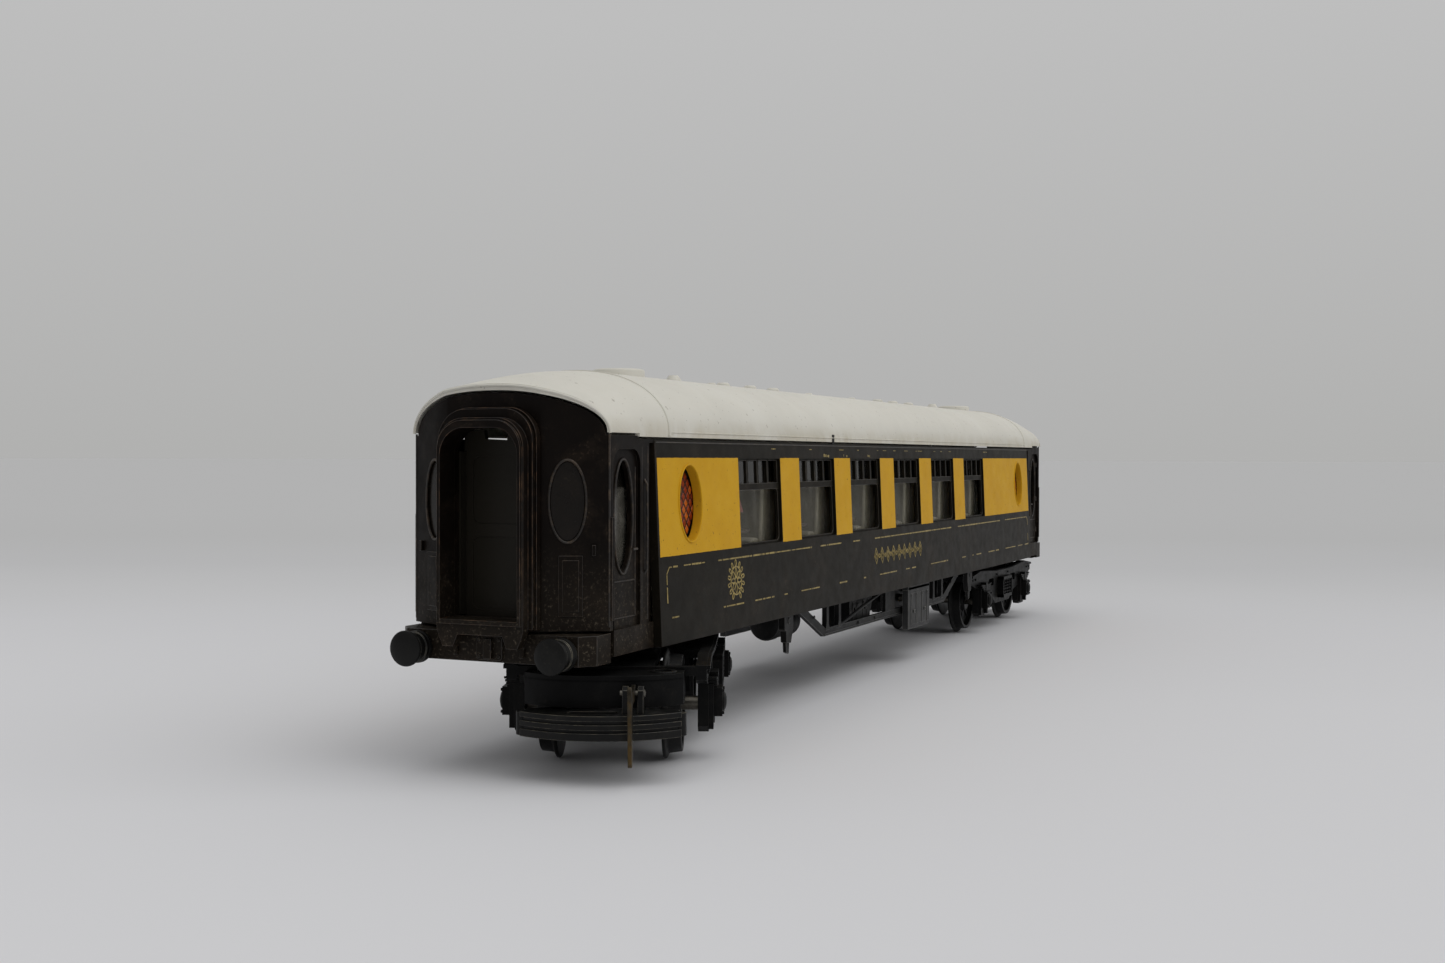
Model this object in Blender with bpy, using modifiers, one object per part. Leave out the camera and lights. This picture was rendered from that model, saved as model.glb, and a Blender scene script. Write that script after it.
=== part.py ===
"""Parlour coach for a 1:76 model railway, 16.5 mm gauge.

Coordinates: +X along the coach, from the end whose bogie is turned to the
straight end; +Z up; z = 0 is the rail-side surface that the wheels stand on;
the origin is under the middle of the coach.  Every length below is in
millimetres and is turned into metres by MM when a mesh is made.
"""
import math

import bmesh
import bpy
from mathutils import Matrix, Vector

MM = 0.001

# ---------------------------------------------------------------- dimensions
# body
SIDE_HALF_LENGTH = 111.2      # end of the full-width side
CORNER_X = 124.57             # vestibule corner
END_X = 128.85                # flat middle facet of the end
HALF_W_TOP = 14.92            # half width at the cantrail
HALF_W_SILL = 16.18           # half width at the bottom of the side
HALF_W_CORNER = 15.20         # half width at the vestibule corner
FACET_HALF_W = 7.30           # half width of the flat middle facet
SILL_Z = 16.18
CANTRAIL_Z = 45.00
DOOR_WALL_Z = 45.40           # top of the wall over the doors
STEP_Z = 19.70                # top of the step board under the doors
WALL = 1.30
# end wall arc
ARC_SPRING_Z = 45.60
ARC_RISE = 5.36
ARC_HALF_W = 14.60
ARC_POWER = 2.2
# side windows
WINDOW_X0 = -82.05
WINDOW_PITCH = 26.06
WINDOW_W = 17.28
WINDOW_Z0 = 28.65
WINDOW_Z1 = 42.30
WINDOW_COUNT = 6
# oval lights
OVAL_X = 100.10
OVAL_Z = 35.86
OVAL_W = 7.40
OVAL_H = 10.90
# vestibule doors
DOOR_LIGHT_X = 119.70
DOOR_LIGHT_Z = 34.55
DOOR_LIGHT_W = 5.00
DOOR_LIGHT_H = 14.90
DOOR_X0 = 115.40
DOOR_X1 = 123.70
DOOR_TOP = 43.60
# gangway
GANGWAY_FACE_X = 132.70
GANGWAY_OPEN_HALF_W = 5.90
GANGWAY_OPEN_Z0 = 21.20
GANGWAY_OPEN_Z1 = 46.30
# roof
ROOF_RIM_Z = 45.30
ROOF_RIM_END_Z = 45.75
ROOF_BAND_Z = 46.10
ROOF_APEX_Z = 54.90
ROOF_HALF_W = 15.25
ROOF_THICK = 0.90
ROOF_DOME_START = 107.0
# seats and tables
SEAT_BACK_Z = 38.20
CUSHION_Z = 29.30
TABLE_Z = 30.90
# running gear
PIVOT_X = 90.88
WHEELBASE = 40.22
WHEEL_FLANGE_R = 7.80
WHEEL_TREAD_R = 6.90
AXLE_Z = 7.80
AXLE_R = 1.00
BACK_TO_BACK = 14.40
BOGIE_TURN_DEG = 22.5         # the first bogie stands turned by this much
# buffers
BUFFER_Y = 11.08
BUFFER_Z = 17.00
BUFFER_X = 133.50
BUFFER_R = 2.40

# ------------------------------------------------------------------- set-up
for old in list(bpy.data.objects):
    bpy.data.objects.remove(old, do_unlink=True)

scene = bpy.context.scene
PARTS = bpy.data.collections.new("parlour_coach")
scene.collection.children.link(PARTS)
GUIDES = bpy.data.collections.new("parlour_coach_guides")
scene.collection.children.link(GUIDES)


def material(name, colour, roughness, metallic=0.0):
    mat = bpy.data.materials.new(name)
    mat.use_nodes = True
    shader = mat.node_tree.nodes["Principled BSDF"]
    shader.inputs["Base Color"].default_value = (*colour, 1.0)
    shader.inputs["Roughness"].default_value = roughness
    shader.inputs["Metallic"].default_value = metallic
    return mat


UMBER = material("umber_plastic", (0.045, 0.034, 0.028), 0.45)
ROOF_WHITE = material("roof_plastic", (0.72, 0.71, 0.67), 0.5)
BLACK = material("black_plastic", (0.022, 0.023, 0.025), 0.5)
UNDER_GREY = material("underframe_plastic", (0.05, 0.05, 0.052), 0.55)
INTERIOR = material("interior_plastic", (0.33, 0.33, 0.34), 0.6)
GLAZING = material("clear_glazing", (0.75, 0.78, 0.78), 0.1)
SMOKED = material("smoked_glazing", (0.16, 0.16, 0.16), 0.3)
STEEL = material("plain_steel", (0.42, 0.41, 0.39), 0.35, 1.0)
WHEEL = material("wheel_plastic", (0.03, 0.03, 0.031), 0.45)


# ------------------------------------------------------------------ helpers
def frame_xz():
    """Local x, y of an outline become world x, z; its depth runs along y."""
    return Matrix(((1, 0, 0, 0), (0, 0, -1, 0), (0, 1, 0, 0), (0, 0, 0, 1)))


def frame_yz():
    """Local x, y of an outline become world y, z; its depth runs along x."""
    return Matrix(((0, 0, 1, 0), (1, 0, 0, 0), (0, 1, 0, 0), (0, 0, 0, 1)))


def outline(loops, depth, matrix=Matrix.Identity(4), centre=0.0):
    """A flat outline with holes, given a thickness, as a welded mesh."""
    curve = bpy.data.curves.new("outline", "CURVE")
    curve.dimensions = "2D"
    curve.fill_mode = "BOTH"
    curve.extrude = depth / 2.0
    for loop in loops:
        spline = curve.splines.new("POLY")
        spline.points.add(len(loop) - 1)
        # half-micron offsets keep the fill from meeting collinear points
        for i, (point, (a, b)) in enumerate(zip(spline.points, loop)):
            point.co = (a + 5e-4 * math.sin(12.9 * i + 1.0),
                        b + 5e-4 * math.cos(7.3 * i), 0.0, 1.0)
        spline.use_cyclic_u = True
    temp = bpy.data.objects.new("outline", curve)
    GUIDES.objects.link(temp)
    graph = bpy.context.evaluated_depsgraph_get()
    mesh = bpy.data.meshes.new_from_object(temp.evaluated_get(graph))
    bm = bmesh.new()
    bm.from_mesh(mesh)
    bmesh.ops.remove_doubles(bm, verts=bm.verts, dist=1e-4)
    bmesh.ops.transform(bm, matrix=matrix @ Matrix.Translation((0, 0, centre)),
                        verts=bm.verts)
    bmesh.ops.recalc_face_normals(bm, faces=bm.faces)
    bpy.data.objects.remove(temp, do_unlink=True)
    bpy.data.curves.remove(curve)
    bpy.data.meshes.remove(mesh)
    return bm


def slab_xz(loops, y0, y1):
    return outline(loops, abs(y1 - y0), frame_xz(), -(y0 + y1) / 2.0)


def slab_yz(loops, x0, x1):
    return outline(loops, abs(x1 - x0), frame_yz(), (x0 + x1) / 2.0)


def slab_xy(loops, z0, z1):
    return outline(loops, abs(z1 - z0), Matrix.Identity(4), (z0 + z1) / 2.0)


def box(x0, x1, y0, y1, z0, z1):
    bm = bmesh.new()
    size = Matrix.Diagonal((abs(x1 - x0), abs(y1 - y0), abs(z1 - z0), 1.0))
    place = Matrix.Translation(((x0 + x1) / 2, (y0 + y1) / 2, (z0 + z1) / 2))
    bmesh.ops.create_cube(bm, size=1.0, matrix=place @ size)
    return bm


def rod(p0, p1, r, seg=16, r_end=None):
    """A cylinder or cone from p0 to p1."""
    p0, p1 = Vector(p0), Vector(p1)
    axis = p1 - p0
    turn = axis.to_track_quat("Z", "Y").to_matrix().to_4x4()
    bm = bmesh.new()
    bmesh.ops.create_cone(bm, cap_ends=True, cap_tris=False, segments=seg,
                          radius1=r, radius2=r if r_end is None else r_end,
                          depth=axis.length,
                          matrix=Matrix.Translation((p0 + p1) / 2) @ turn)
    return bm


def join(*parts):
    """Put meshes that don't touch into one, for use as a set of cutters."""
    out = bmesh.new()
    for part in parts:
        mesh = bpy.data.meshes.new("join")
        part.to_mesh(mesh)
        out.from_mesh(mesh)
        bpy.data.meshes.remove(mesh)
    return out


def temp_object(bm):
    mesh = bpy.data.meshes.new("temp")
    bm.to_mesh(mesh)
    obj = bpy.data.objects.new("temp", mesh)
    GUIDES.objects.link(obj)
    obj.hide_render = True
    obj.display_type = "WIRE"
    return obj


def boolean(bm_a, bm_b, operation):
    a, b = temp_object(bm_a), temp_object(bm_b)
    mod = a.modifiers.new("cut", "BOOLEAN")
    mod.operation = operation
    mod.solver = "EXACT"
    mod.object = b
    graph = bpy.context.evaluated_depsgraph_get()
    mesh = bpy.data.meshes.new_from_object(a.evaluated_get(graph))
    out = bmesh.new()
    out.from_mesh(mesh)
    for obj in (a, b):
        data = obj.data
        bpy.data.objects.remove(obj, do_unlink=True)
        bpy.data.meshes.remove(data)
    bpy.data.meshes.remove(mesh)
    return out


def union(*parts):
    out = parts[0]
    for part in parts[1:]:
        out = boolean(out, part, "UNION")
    return out


def cut(bm, *cutters):
    for cutter in cutters:
        bm = boolean(bm, cutter, "DIFFERENCE")
    return bm


def tidy(bm):
    """Merge slivers left by cuts, and drop edges that lie in a flat face."""
    bmesh.ops.remove_doubles(bm, verts=bm.verts, dist=2e-3)
    bmesh.ops.dissolve_degenerate(bm, edges=bm.edges, dist=1e-3)
    bmesh.ops.dissolve_limit(bm, angle_limit=math.radians(0.3),
                             verts=bm.verts, edges=bm.edges)
    bmesh.ops.triangulate(bm, faces=bm.faces)
    return bm


def part(name, bm, mat, parent=None, origin=(0, 0, 0), angle=35, mesh=None):
    """Finish a mesh in millimetres as a named object in metres."""
    if mesh is None:
        bmesh.ops.recalc_face_normals(bm, faces=bm.faces)
        shift = Matrix.Translation(-Vector(origin))
        bmesh.ops.transform(bm, matrix=Matrix.Scale(MM, 4) @ shift,
                            verts=bm.verts)
        mesh = bpy.data.meshes.new(name)
        bm.to_mesh(mesh)
        bm.free()
        mesh.materials.append(mat)
        mesh.shade_smooth()
        mesh.set_sharp_from_angle(angle=math.radians(angle))
    obj = bpy.data.objects.new(name, mesh)
    PARTS.objects.link(obj)
    obj.location = Vector(origin) * MM
    obj.parent = parent
    return obj


def turned(name, profile, centre, axis, mat, steps=24, parent=None,
           origin=None):
    """A turned piece: (r, h) runs down the outer side, top to bottom."""
    mesh = bpy.data.meshes.new(name)
    bm = bmesh.new()
    verts = [bm.verts.new((r * MM, 0.0, h * MM)) for r, h in profile]
    for a, b in zip(verts, verts[1:]):
        bm.edges.new((a, b))
    closed = profile[0][0] > 1e-6
    if closed:
        bm.edges.new((verts[-1], verts[0]))
    bm.to_mesh(mesh)
    bm.free()
    obj = bpy.data.objects.new(name, mesh)
    PARTS.objects.link(obj)
    screw = obj.modifiers.new("turn", "SCREW")
    screw.steps = steps
    screw.render_steps = steps
    screw.use_merge_vertices = True
    screw.merge_threshold = 1e-6
    mesh.materials.append(mat)
    obj.parent = parent
    turn = Vector(axis).to_track_quat("Z", "Y")
    obj.rotation_euler = turn.to_euler()
    obj.location = Vector(centre) * MM
    return obj


def ellipse(cx, cy, w, h, n=20):
    return [(cx + w / 2 * math.cos(2 * math.pi * i / n),
             cy + h / 2 * math.sin(2 * math.pi * i / n)) for i in range(n)]


def arch(half_w, z0, z1, r, n=4):
    """An opening with round top corners, counter-clockwise in (y, z)."""
    pts = [(half_w, z0)]
    for i in range(n + 1):
        a = math.pi / 2 * i / n
        pts.append((half_w - r + r * math.cos(a), z1 - r + r * math.sin(a)))
    for i in range(n + 1):
        a = math.pi / 2 + math.pi / 2 * i / n
        pts.append((-half_w + r + r * math.cos(a), z1 - r + r * math.sin(a)))
    pts.append((-half_w, z0))
    return pts


def bump(t, half_w, base, rise, power):
    """Height of an arched section at y = t."""
    u = min(abs(t) / half_w, 1.0)
    return base + rise * math.sqrt(max(0.0, 1.0 - u ** power))


def fan(half_w, n):
    """Places across the section, closer together near the edges."""
    return [-half_w * math.cos(math.pi * i / n) for i in range(n + 1)]


def end_x(y, corner=CORNER_X, face=END_X):
    """X of the faceted end at a given y."""
    y = abs(y)
    if y <= FACET_HALF_W:
        return face
    k = (y - FACET_HALF_W) / (HALF_W_CORNER - FACET_HALF_W)
    return face + (corner - face) * min(k, 1.15)


# --------------------------------------------------------------- body shell
def side_y(z):
    """Half width of the leaning side at a height."""
    k = (z - SILL_Z) / (CANTRAIL_Z - SILL_Z)
    return HALF_W_SILL + (HALF_W_TOP - HALF_W_SILL) * k


def body_shell():
    side = slab_yz([[(-side_y(SILL_Z), SILL_Z), (side_y(SILL_Z), SILL_Z),
                     (side_y(CANTRAIL_Z), CANTRAIL_Z),
                     (-side_y(CANTRAIL_Z), CANTRAIL_Z)]],
                   -SIDE_HALF_LENGTH, SIDE_HALF_LENGTH)
    shell = side
    for s in (-1, 1):
        plan = [(s * 110.6, -14.86), (s * CORNER_X, -HALF_W_CORNER),
                (s * END_X, -FACET_HALF_W), (s * END_X, FACET_HALF_W),
                (s * CORNER_X, HALF_W_CORNER), (s * 110.6, 14.86)]
        shell = union(shell, slab_xy([plan], SILL_Z, 52.0))
    # hollow middle
    low, high = 14.0, 60.0
    inner = slab_yz([[(-(side_y(low) - WALL), low), (side_y(low) - WALL, low),
                      (side_y(high) - WALL, high),
                      (-(side_y(high) - WALL), high)]], -112.3, 112.3)
    shell = cut(shell, inner)
    for s in (-1, 1):
        plan = [(s * 111.9, -13.75), (s * 123.93, -13.90),
                (s * 127.75, -6.95), (s * 127.75, 6.95),
                (s * 123.93, 13.90), (s * 111.9, 13.75)]
        shell = cut(shell, slab_xy([plan], 14.0, 60.0))
    # top edge: flat along the sides, arched over the ends
    arc = [(y, bump(y, ARC_HALF_W, ARC_SPRING_Z, ARC_RISE, ARC_POWER))
           for y in fan(ARC_HALF_W, 20)]
    arc = [(-18, DOOR_WALL_Z), (-ARC_HALF_W - 0.01, DOOR_WALL_Z)] + arc + \
        [(ARC_HALF_W + 0.01, DOOR_WALL_Z), (18, DOOR_WALL_Z), (18, 60),
         (-18, 60)]
    shell = cut(shell, slab_yz([arc], -135, 135),
                box(-123.2, 123.2, -18, 18, DOOR_WALL_Z, 61),
                box(-114.2, 114.2, -18, 18, CANTRAIL_Z, 61))
    # foot of each end wall, above the buffer beam
    shell = cut(shell, join(box(-135, -123.4, -18, 18, 10, STEP_Z),
                            box(123.4, 135, -18, 18, 10, STEP_Z)))
    # windows and oval lights, through both sides
    openings = []
    for k in range(WINDOW_COUNT):
        x = WINDOW_X0 + k * WINDOW_PITCH
        openings.append(box(x, x + WINDOW_W, -20, 20, WINDOW_Z0, WINDOW_Z1))
    for s in (-1, 1):
        openings.append(slab_xz([ellipse(s * OVAL_X, OVAL_Z, OVAL_W, OVAL_H)],
                                -20, 20))
        openings.append(slab_xz([ellipse(s * DOOR_LIGHT_X, DOOR_LIGHT_Z,
                                         DOOR_LIGHT_W, DOOR_LIGHT_H)],
                                -20, 20))
        x0, x1 = sorted((s * (END_X + 3), s * (END_X - 4)))
        openings.append(slab_yz([arch(GANGWAY_OPEN_HALF_W + 0.2,
                                      GANGWAY_OPEN_Z0, GANGWAY_OPEN_Z1,
                                      3.6)], x0, x1))
    shell = cut(shell, join(*openings))
    # recessed doors, and the groove beside each
    recess = []
    for s in (-1, 1):
        for t in (-1, 1):
            x0, x1 = sorted((s * DOOR_X0, s * DOOR_X1))
            y0, y1 = sorted((t * 14.45, t * 20))
            recess.append(box(x0, x1, y0, y1, STEP_Z, DOOR_TOP))
            x0, x1 = sorted((s * (SIDE_HALF_LENGTH + 0.05),
                             s * (SIDE_HALF_LENGTH + 1.5)))
            y0, y1 = sorted((t * 14.30, t * 20))
            recess.append(box(x0, x1, y0, y1, STEP_Z, CANTRAIL_Z - 0.5))
    shell = cut(shell, join(*recess))
    # blind oval panels on the angled facets
    panels = []
    for s in (-1, 1):
        for t in (-1, 1):
            a = Vector((s * END_X, t * FACET_HALF_W, 0))
            b = Vector((s * CORNER_X, t * HALF_W_CORNER, 0))
            along = (b - a).normalized()
            normal = Vector((s * abs(along.y), t * abs(along.x), 0))
            bm = outline([ellipse(0, 0, 4.7, 10.6, 18)], 1.0)
            turn = Matrix((( along.x, 0, normal.x, 0),
                           (along.y, 0, normal.y, 0),
                           (0, 1, 0, 0), (0, 0, 0, 1)))
            place = a + along * 3.4 + normal * 0.05
            place.z = 36.7
            bmesh.ops.transform(bm, matrix=Matrix.Translation(place) @ turn,
                                verts=bm.verts)
            bmesh.ops.recalc_face_normals(bm, faces=bm.faces)
            panels.append(bm)
    shell = cut(shell, join(*panels))
    return tidy(shell)


part("body_shell", body_shell(), UMBER)


# --------------------------------------------------------------------- roof
def roof_ring(x, half_w, rim, band, rise, thick, side, n=20):
    """One cross-section, outer arch then inner arch, with its plan shape."""
    outer = [(-half_w, rim)]
    outer += [(y, bump(y, half_w, band, rise, ARC_POWER))
              for y in fan(half_w, n)]
    outer += [(half_w, rim)]
    iw = half_w - side
    inner = [(iw, rim)]
    inner += [(-y, bump(y, iw, band, rise - thick, ARC_POWER))
              for y in fan(iw, n)]
    inner += [(-iw, rim)]
    return [(x(y), y, z) for y, z in outer + inner]


def roof():
    """Loft of arched sections: straight middle and domed, faceted ends."""
    sections = []
    for k in range(7):                       # dome, from the end inward
        t = k / 6.0
        ease = math.sin(math.pi / 2 * t)
        rise = (ARC_RISE + 0.94) * (1 - ease) + \
            (ROOF_APEX_Z - ROOF_BAND_Z) * ease
        band = (ARC_SPRING_Z + 0.3) * (1 - t) + ROOF_BAND_Z * t
        width = (HALF_W_CORNER + 0.1) * (1 - ease) + ROOF_HALF_W * ease
        rim = ROOF_RIM_END_Z if t < 0.7 else ROOF_RIM_Z
        side = 0.35 * (1 - t) + ROOF_THICK * t
        sections.append((t, rise, band, width, rim, side))

    rings = []
    for s, seq in ((-1, sections), (1, sections[::-1])):
        for t, rise, band, width, rim, side in seq:
            def place(y, s=s, t=t):
                tip = end_x(y) + 0.25
                return s * (tip + (ROOF_DOME_START - tip) * t)
            rings.append(roof_ring(place, width, rim, band, rise,
                                   ROOF_THICK, side))
    bm = bmesh.new()
    rows = [[bm.verts.new(p) for p in ring] for ring in rings]
    n = len(rows[0])
    for a, b in zip(rows, rows[1:]):
        for i in range(n):
            j = (i + 1) % n
            bm.faces.new((a[i], a[j], b[j], b[i]))
    half = n // 2
    for row in (rows[0], rows[-1]):          # close the rim at each end
        for i in range(half - 1):
            bm.faces.new((row[i], row[i + 1], row[n - 2 - i],
                          row[n - 1 - i]))
    bmesh.ops.recalc_face_normals(bm, faces=bm.faces)
    # vents along the ridge
    vents = []
    for s in (-1, 1):
        vents.append(rod((s * 93.2, 0, 54.35), (s * 93.2, 0, 55.9), 3.45, 20))
        vents.append(rod((s * 74.0, 0, 54.4), (s * 74.0, 0, 55.9), 1.4, 12,
                         0.9))
    for x in VENTS:
        vents.append(rod((x, 0, 54.4), (x, 0, 55.6), 1.7, 12, 1.0))
    return union(bm, join(*vents))


VENTS = (-54.0, -42.0, -31.0, 31.0, 42.0, 54.0)
part("roof", roof(), ROOF_WHITE, angle=40)


# ------------------------------------------------------------------ glazing
LEAN = math.atan2(HALF_W_SILL - HALF_W_TOP, CANTRAIL_Z - SILL_Z)
for t, label in ((-1, "glazing_near"), (1, "glazing_far")):
    z0, z1, gap, thick = 26.2, 44.4, 0.35, 0.6
    bm = box(-106.0, 106.0, -thick / 2, thick / 2, -(z1 - z0) / 2,
             (z1 - z0) / 2)
    zc = (z0 + z1) / 2
    yc = side_y(zc) - WALL - gap - thick / 2
    place = Matrix.Translation((0, t * yc, zc)) @ \
        Matrix.Rotation(t * LEAN, 4, "X")
    bmesh.ops.transform(bm, matrix=place, verts=bm.verts)
    part(label, bm, GLAZING)

for s, end in ((-1, "front"), (1, "rear")):
    for t, label in ((-1, "near"), (1, "far")):
        y0, y1 = sorted((t * 13.40, t * 12.80))
        x0, x1 = sorted((s * 116.4, s * 123.0))
        part("door_glass_%s_%s" % (end, label),
             box(x0, x1, y0, y1, 25.6, 43.4), SMOKED)
    x0, x1 = sorted((s * 126.10, s * 125.30))
    part("end_door_" + end, slab_yz([arch(6.3, 20.2, 44.7, 1.2, 2)], x0, x1),
         SMOKED)


# ----------------------------------------------------------- gangway frames
def gangway(s):
    back = slab_yz([arch(7.30, 20.0, 49.0, 4.2)], s * 129.15, s * 131.0)
    foot = [(-6.6, 19.9), (-6.4, 19.2), (-5.7, 17.6), (-4.1, 17.6),
            (-3.4, 19.2), (3.4, 19.2), (4.1, 17.6), (5.7, 17.6),
            (6.4, 19.2), (6.6, 19.9)]
    face = foot + arch(6.6, 20.0, 47.6, 4.0)[1:-1]
    front = slab_yz([face], s * 130.6, s * GANGWAY_FACE_X)
    tunnel = slab_yz([arch(GANGWAY_OPEN_HALF_W, GANGWAY_OPEN_Z0,
                           GANGWAY_OPEN_Z1, 3.6)], s * 127, s * 135)
    return tidy(cut(union(back, front), tunnel))


part("gangway_front", gangway(-1), UMBER)
part("gangway_rear", gangway(1), UMBER)


# ------------------------------------------------- interior and ballast bar
def interior():
    """Side view of a row of facing seats with a table between each pair."""
    floor_z, top = 19.8, 20.8
    pts = [(-104.0, floor_z), (104.0, floor_z), (104.0, top)]
    for k in reversed(range(WINDOW_COUNT)):
        c = WINDOW_X0 + k * WINDOW_PITCH + WINDOW_W / 2
        pts += [(c + 11.2, top), (c + 11.2, SEAT_BACK_Z),
                (c + 7.6, SEAT_BACK_Z), (c + 6.9, CUSHION_Z),
                (c + 3.6, CUSHION_Z), (c + 3.6, top), (c + 0.7, top),
                (c + 0.7, TABLE_Z - 0.6), (c + 2.8, TABLE_Z - 0.6),
                (c + 2.8, TABLE_Z), (c - 2.8, TABLE_Z),
                (c - 2.8, TABLE_Z - 0.6), (c - 0.7, TABLE_Z - 0.6),
                (c - 0.7, top), (c - 3.6, top), (c - 3.6, CUSHION_Z),
                (c - 6.9, CUSHION_Z), (c - 7.6, SEAT_BACK_Z),
                (c - 11.2, SEAT_BACK_Z), (c - 11.2, top)]
    pts += [(-104.0, top)]
    bm = slab_xz([pts], -12.4, 12.4)
    aisle = box(-110, 110, -3.2, 3.2, top, 40)
    bm = cut(bm, aisle)
    return tidy(bm)


part("interior_seats", interior(), INTERIOR)
part("ballast_bar", box(-60, 60, -8, 8, 18.1, 19.4), STEEL)


# --------------------------------------------------------------- underframe
def underframe():
    plan = [(-123.0, -12.6), (-111.6, -12.6), (-111.6, -14.35),
            (111.6, -14.35), (111.6, -12.6), (123.0, -12.6),
            (123.0, 12.6), (111.6, 12.6), (111.6, 14.35), (-111.6, 14.35),
            (-111.6, 12.6), (-123.0, 12.6)]
    bm = slab_xy([plan], 16.60, 17.70)
    for s in (-1, 1):
        bm = union(bm, rod((s * PIVOT_X, 0, 17.2), (s * PIVOT_X, 0, 14.65),
                           4.6, 20))
        bm = cut(bm, rod((s * PIVOT_X, 0, 10), (s * PIVOT_X, 0, 20),
                         1.85, 16))
    # twin longitudinal members and the drop brackets beside each bogie
    bm = union(bm, box(-56, 56, -6.2, -5.0, 14.2, 17.0),
               box(-56, 56, 5.0, 6.2, 14.2, 17.0))
    for s in (-1, 1):
        for t in (-1, 1):
            y0, y1 = sorted((t * 12.9, t * 14.1))
            x0, x1 = sorted((s * 59.9, s * 56.0))
            loop = [(s * 59.9, 17.0), (s * 59.9, 13.4), (s * 59.2, 13.2),
                    (s * 58.6, 9.4), (s * 57.2, 9.2), (s * 56.0, 13.4),
                    (s * 56.0, 17.0)]
            bm = union(bm, slab_xz([loop], y0, y1))
    return tidy(bm)


part("underframe", underframe(), UNDER_GREY)


def truss(t):
    outer = [(-52.6, 16.2), (-48.4, 16.2), (-38.0, 11.6), (-3.0, 11.6),
             (-3.0, 16.2), (3.0, 16.2), (3.0, 11.6), (38.0, 11.6),
             (48.4, 16.2), (52.6, 16.2), (38.8, 10.2), (-38.8, 10.2)]
    bm = slab_xz([outer], t * 12.4, t * 13.4)
    posts = [box(s * x - 0.8, s * x + 0.8, min(t * 12.4, t * 13.4),
                 max(t * 12.4, t * 13.4), 11.0, 16.2)
             for s in (-1, 1) for x in (30.5, 37.0)]
    return tidy(union(bm, *posts))


part("truss_near", truss(-1), UNDER_GREY)
part("truss_far", truss(1), UNDER_GREY)


def equipment_box(x0, x1, y0, y1, z0, z1, ribs):
    bm = box(x0, x1, y0, y1, z0, z1)
    out = -1 if y0 < 0 else 1
    face = y0 if out < 0 else y1
    inset = []
    width = (x1 - x0 - 0.8 * (ribs + 1)) / ribs
    for k in range(ribs):
        a = x0 + 0.8 + k * (width + 0.8)
        ya, yb = sorted((face - out * 0.4, face + out * 1.0))
        inset.append(box(a, a + width, ya, yb, z0 + 0.9, z1 - 0.9))
    return tidy(cut(bm, join(*inset)))


# each box hangs outside its truss, under the floor
part("battery_box_near", equipment_box(6.3, 21.3, -15.4, -13.75, 7.1, 16.0,
                                       2), UNDER_GREY)
part("battery_box_far", equipment_box(-21.3, -6.3, 13.75, 15.4, 7.1, 16.0,
                                      2), UNDER_GREY)
part("regulator_box", equipment_box(-20.0, -8.0, -11.9, -6.9, 9.6, 16.2, 2),
     UNDER_GREY)
part("vacuum_cylinder", rod((14, 3.9, 12.0), (14, -3.9, 12.0), 3.6, 20),
     UNDER_GREY)


def dynamo():
    body = rod((-33, 1.0, 11.2), (-21, 1.0, 11.2), 3.2, 18)
    neck = rod((-21.4, 1.0, 11.2), (-19.4, 1.0, 11.2), 1.4, 12)
    lug = box(-28.5, -25.5, -0.4, 2.4, 12.5, 16.2)
    return tidy(union(body, neck, lug))


part("dynamo", dynamo(), UNDER_GREY)


# ------------------------------------------------- buffer beams and buffers
def buffer_beam(s):
    plan = [(s * 123.75, -14.9), (s * 127.6, -14.9), (s * 129.6, -13.2),
            (s * 129.6, 13.2), (s * 127.6, 14.9), (s * 123.75, 14.9)]
    bm = slab_xy([plan], 15.4, 19.35)
    hook = [(-0.6, 15.9), (0.6, 15.9), (0.6, 18.6), (-0.6, 18.6)]
    plate = slab_yz([hook], s * 129.3, s * 130.5)
    return tidy(union(bm, plate))


for s, end in ((-1, "front"), (1, "rear")):
    part("buffer_beam_" + end, buffer_beam(s), UMBER)
    for t, label in ((-1, "near"), (1, "far")):
        h = BUFFER_X - 129.9
        profile = [(0.0, h), (1.4, h - 0.06), (2.2, h - 0.22),
                   (BUFFER_R, h - 0.42), (BUFFER_R, h - 0.75),
                   (1.25, h - 0.95), (1.25, h - 1.5), (1.9, h - 1.5),
                   (2.05, 0.7), (2.2, 0.7), (2.2, 0.0), (0.0, 0.0)]
        turned("buffer_%s_%s" % (end, label), profile,
               (s * 129.9, t * BUFFER_Y, BUFFER_Z), (s, 0, 0), BLACK, 20)


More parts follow.
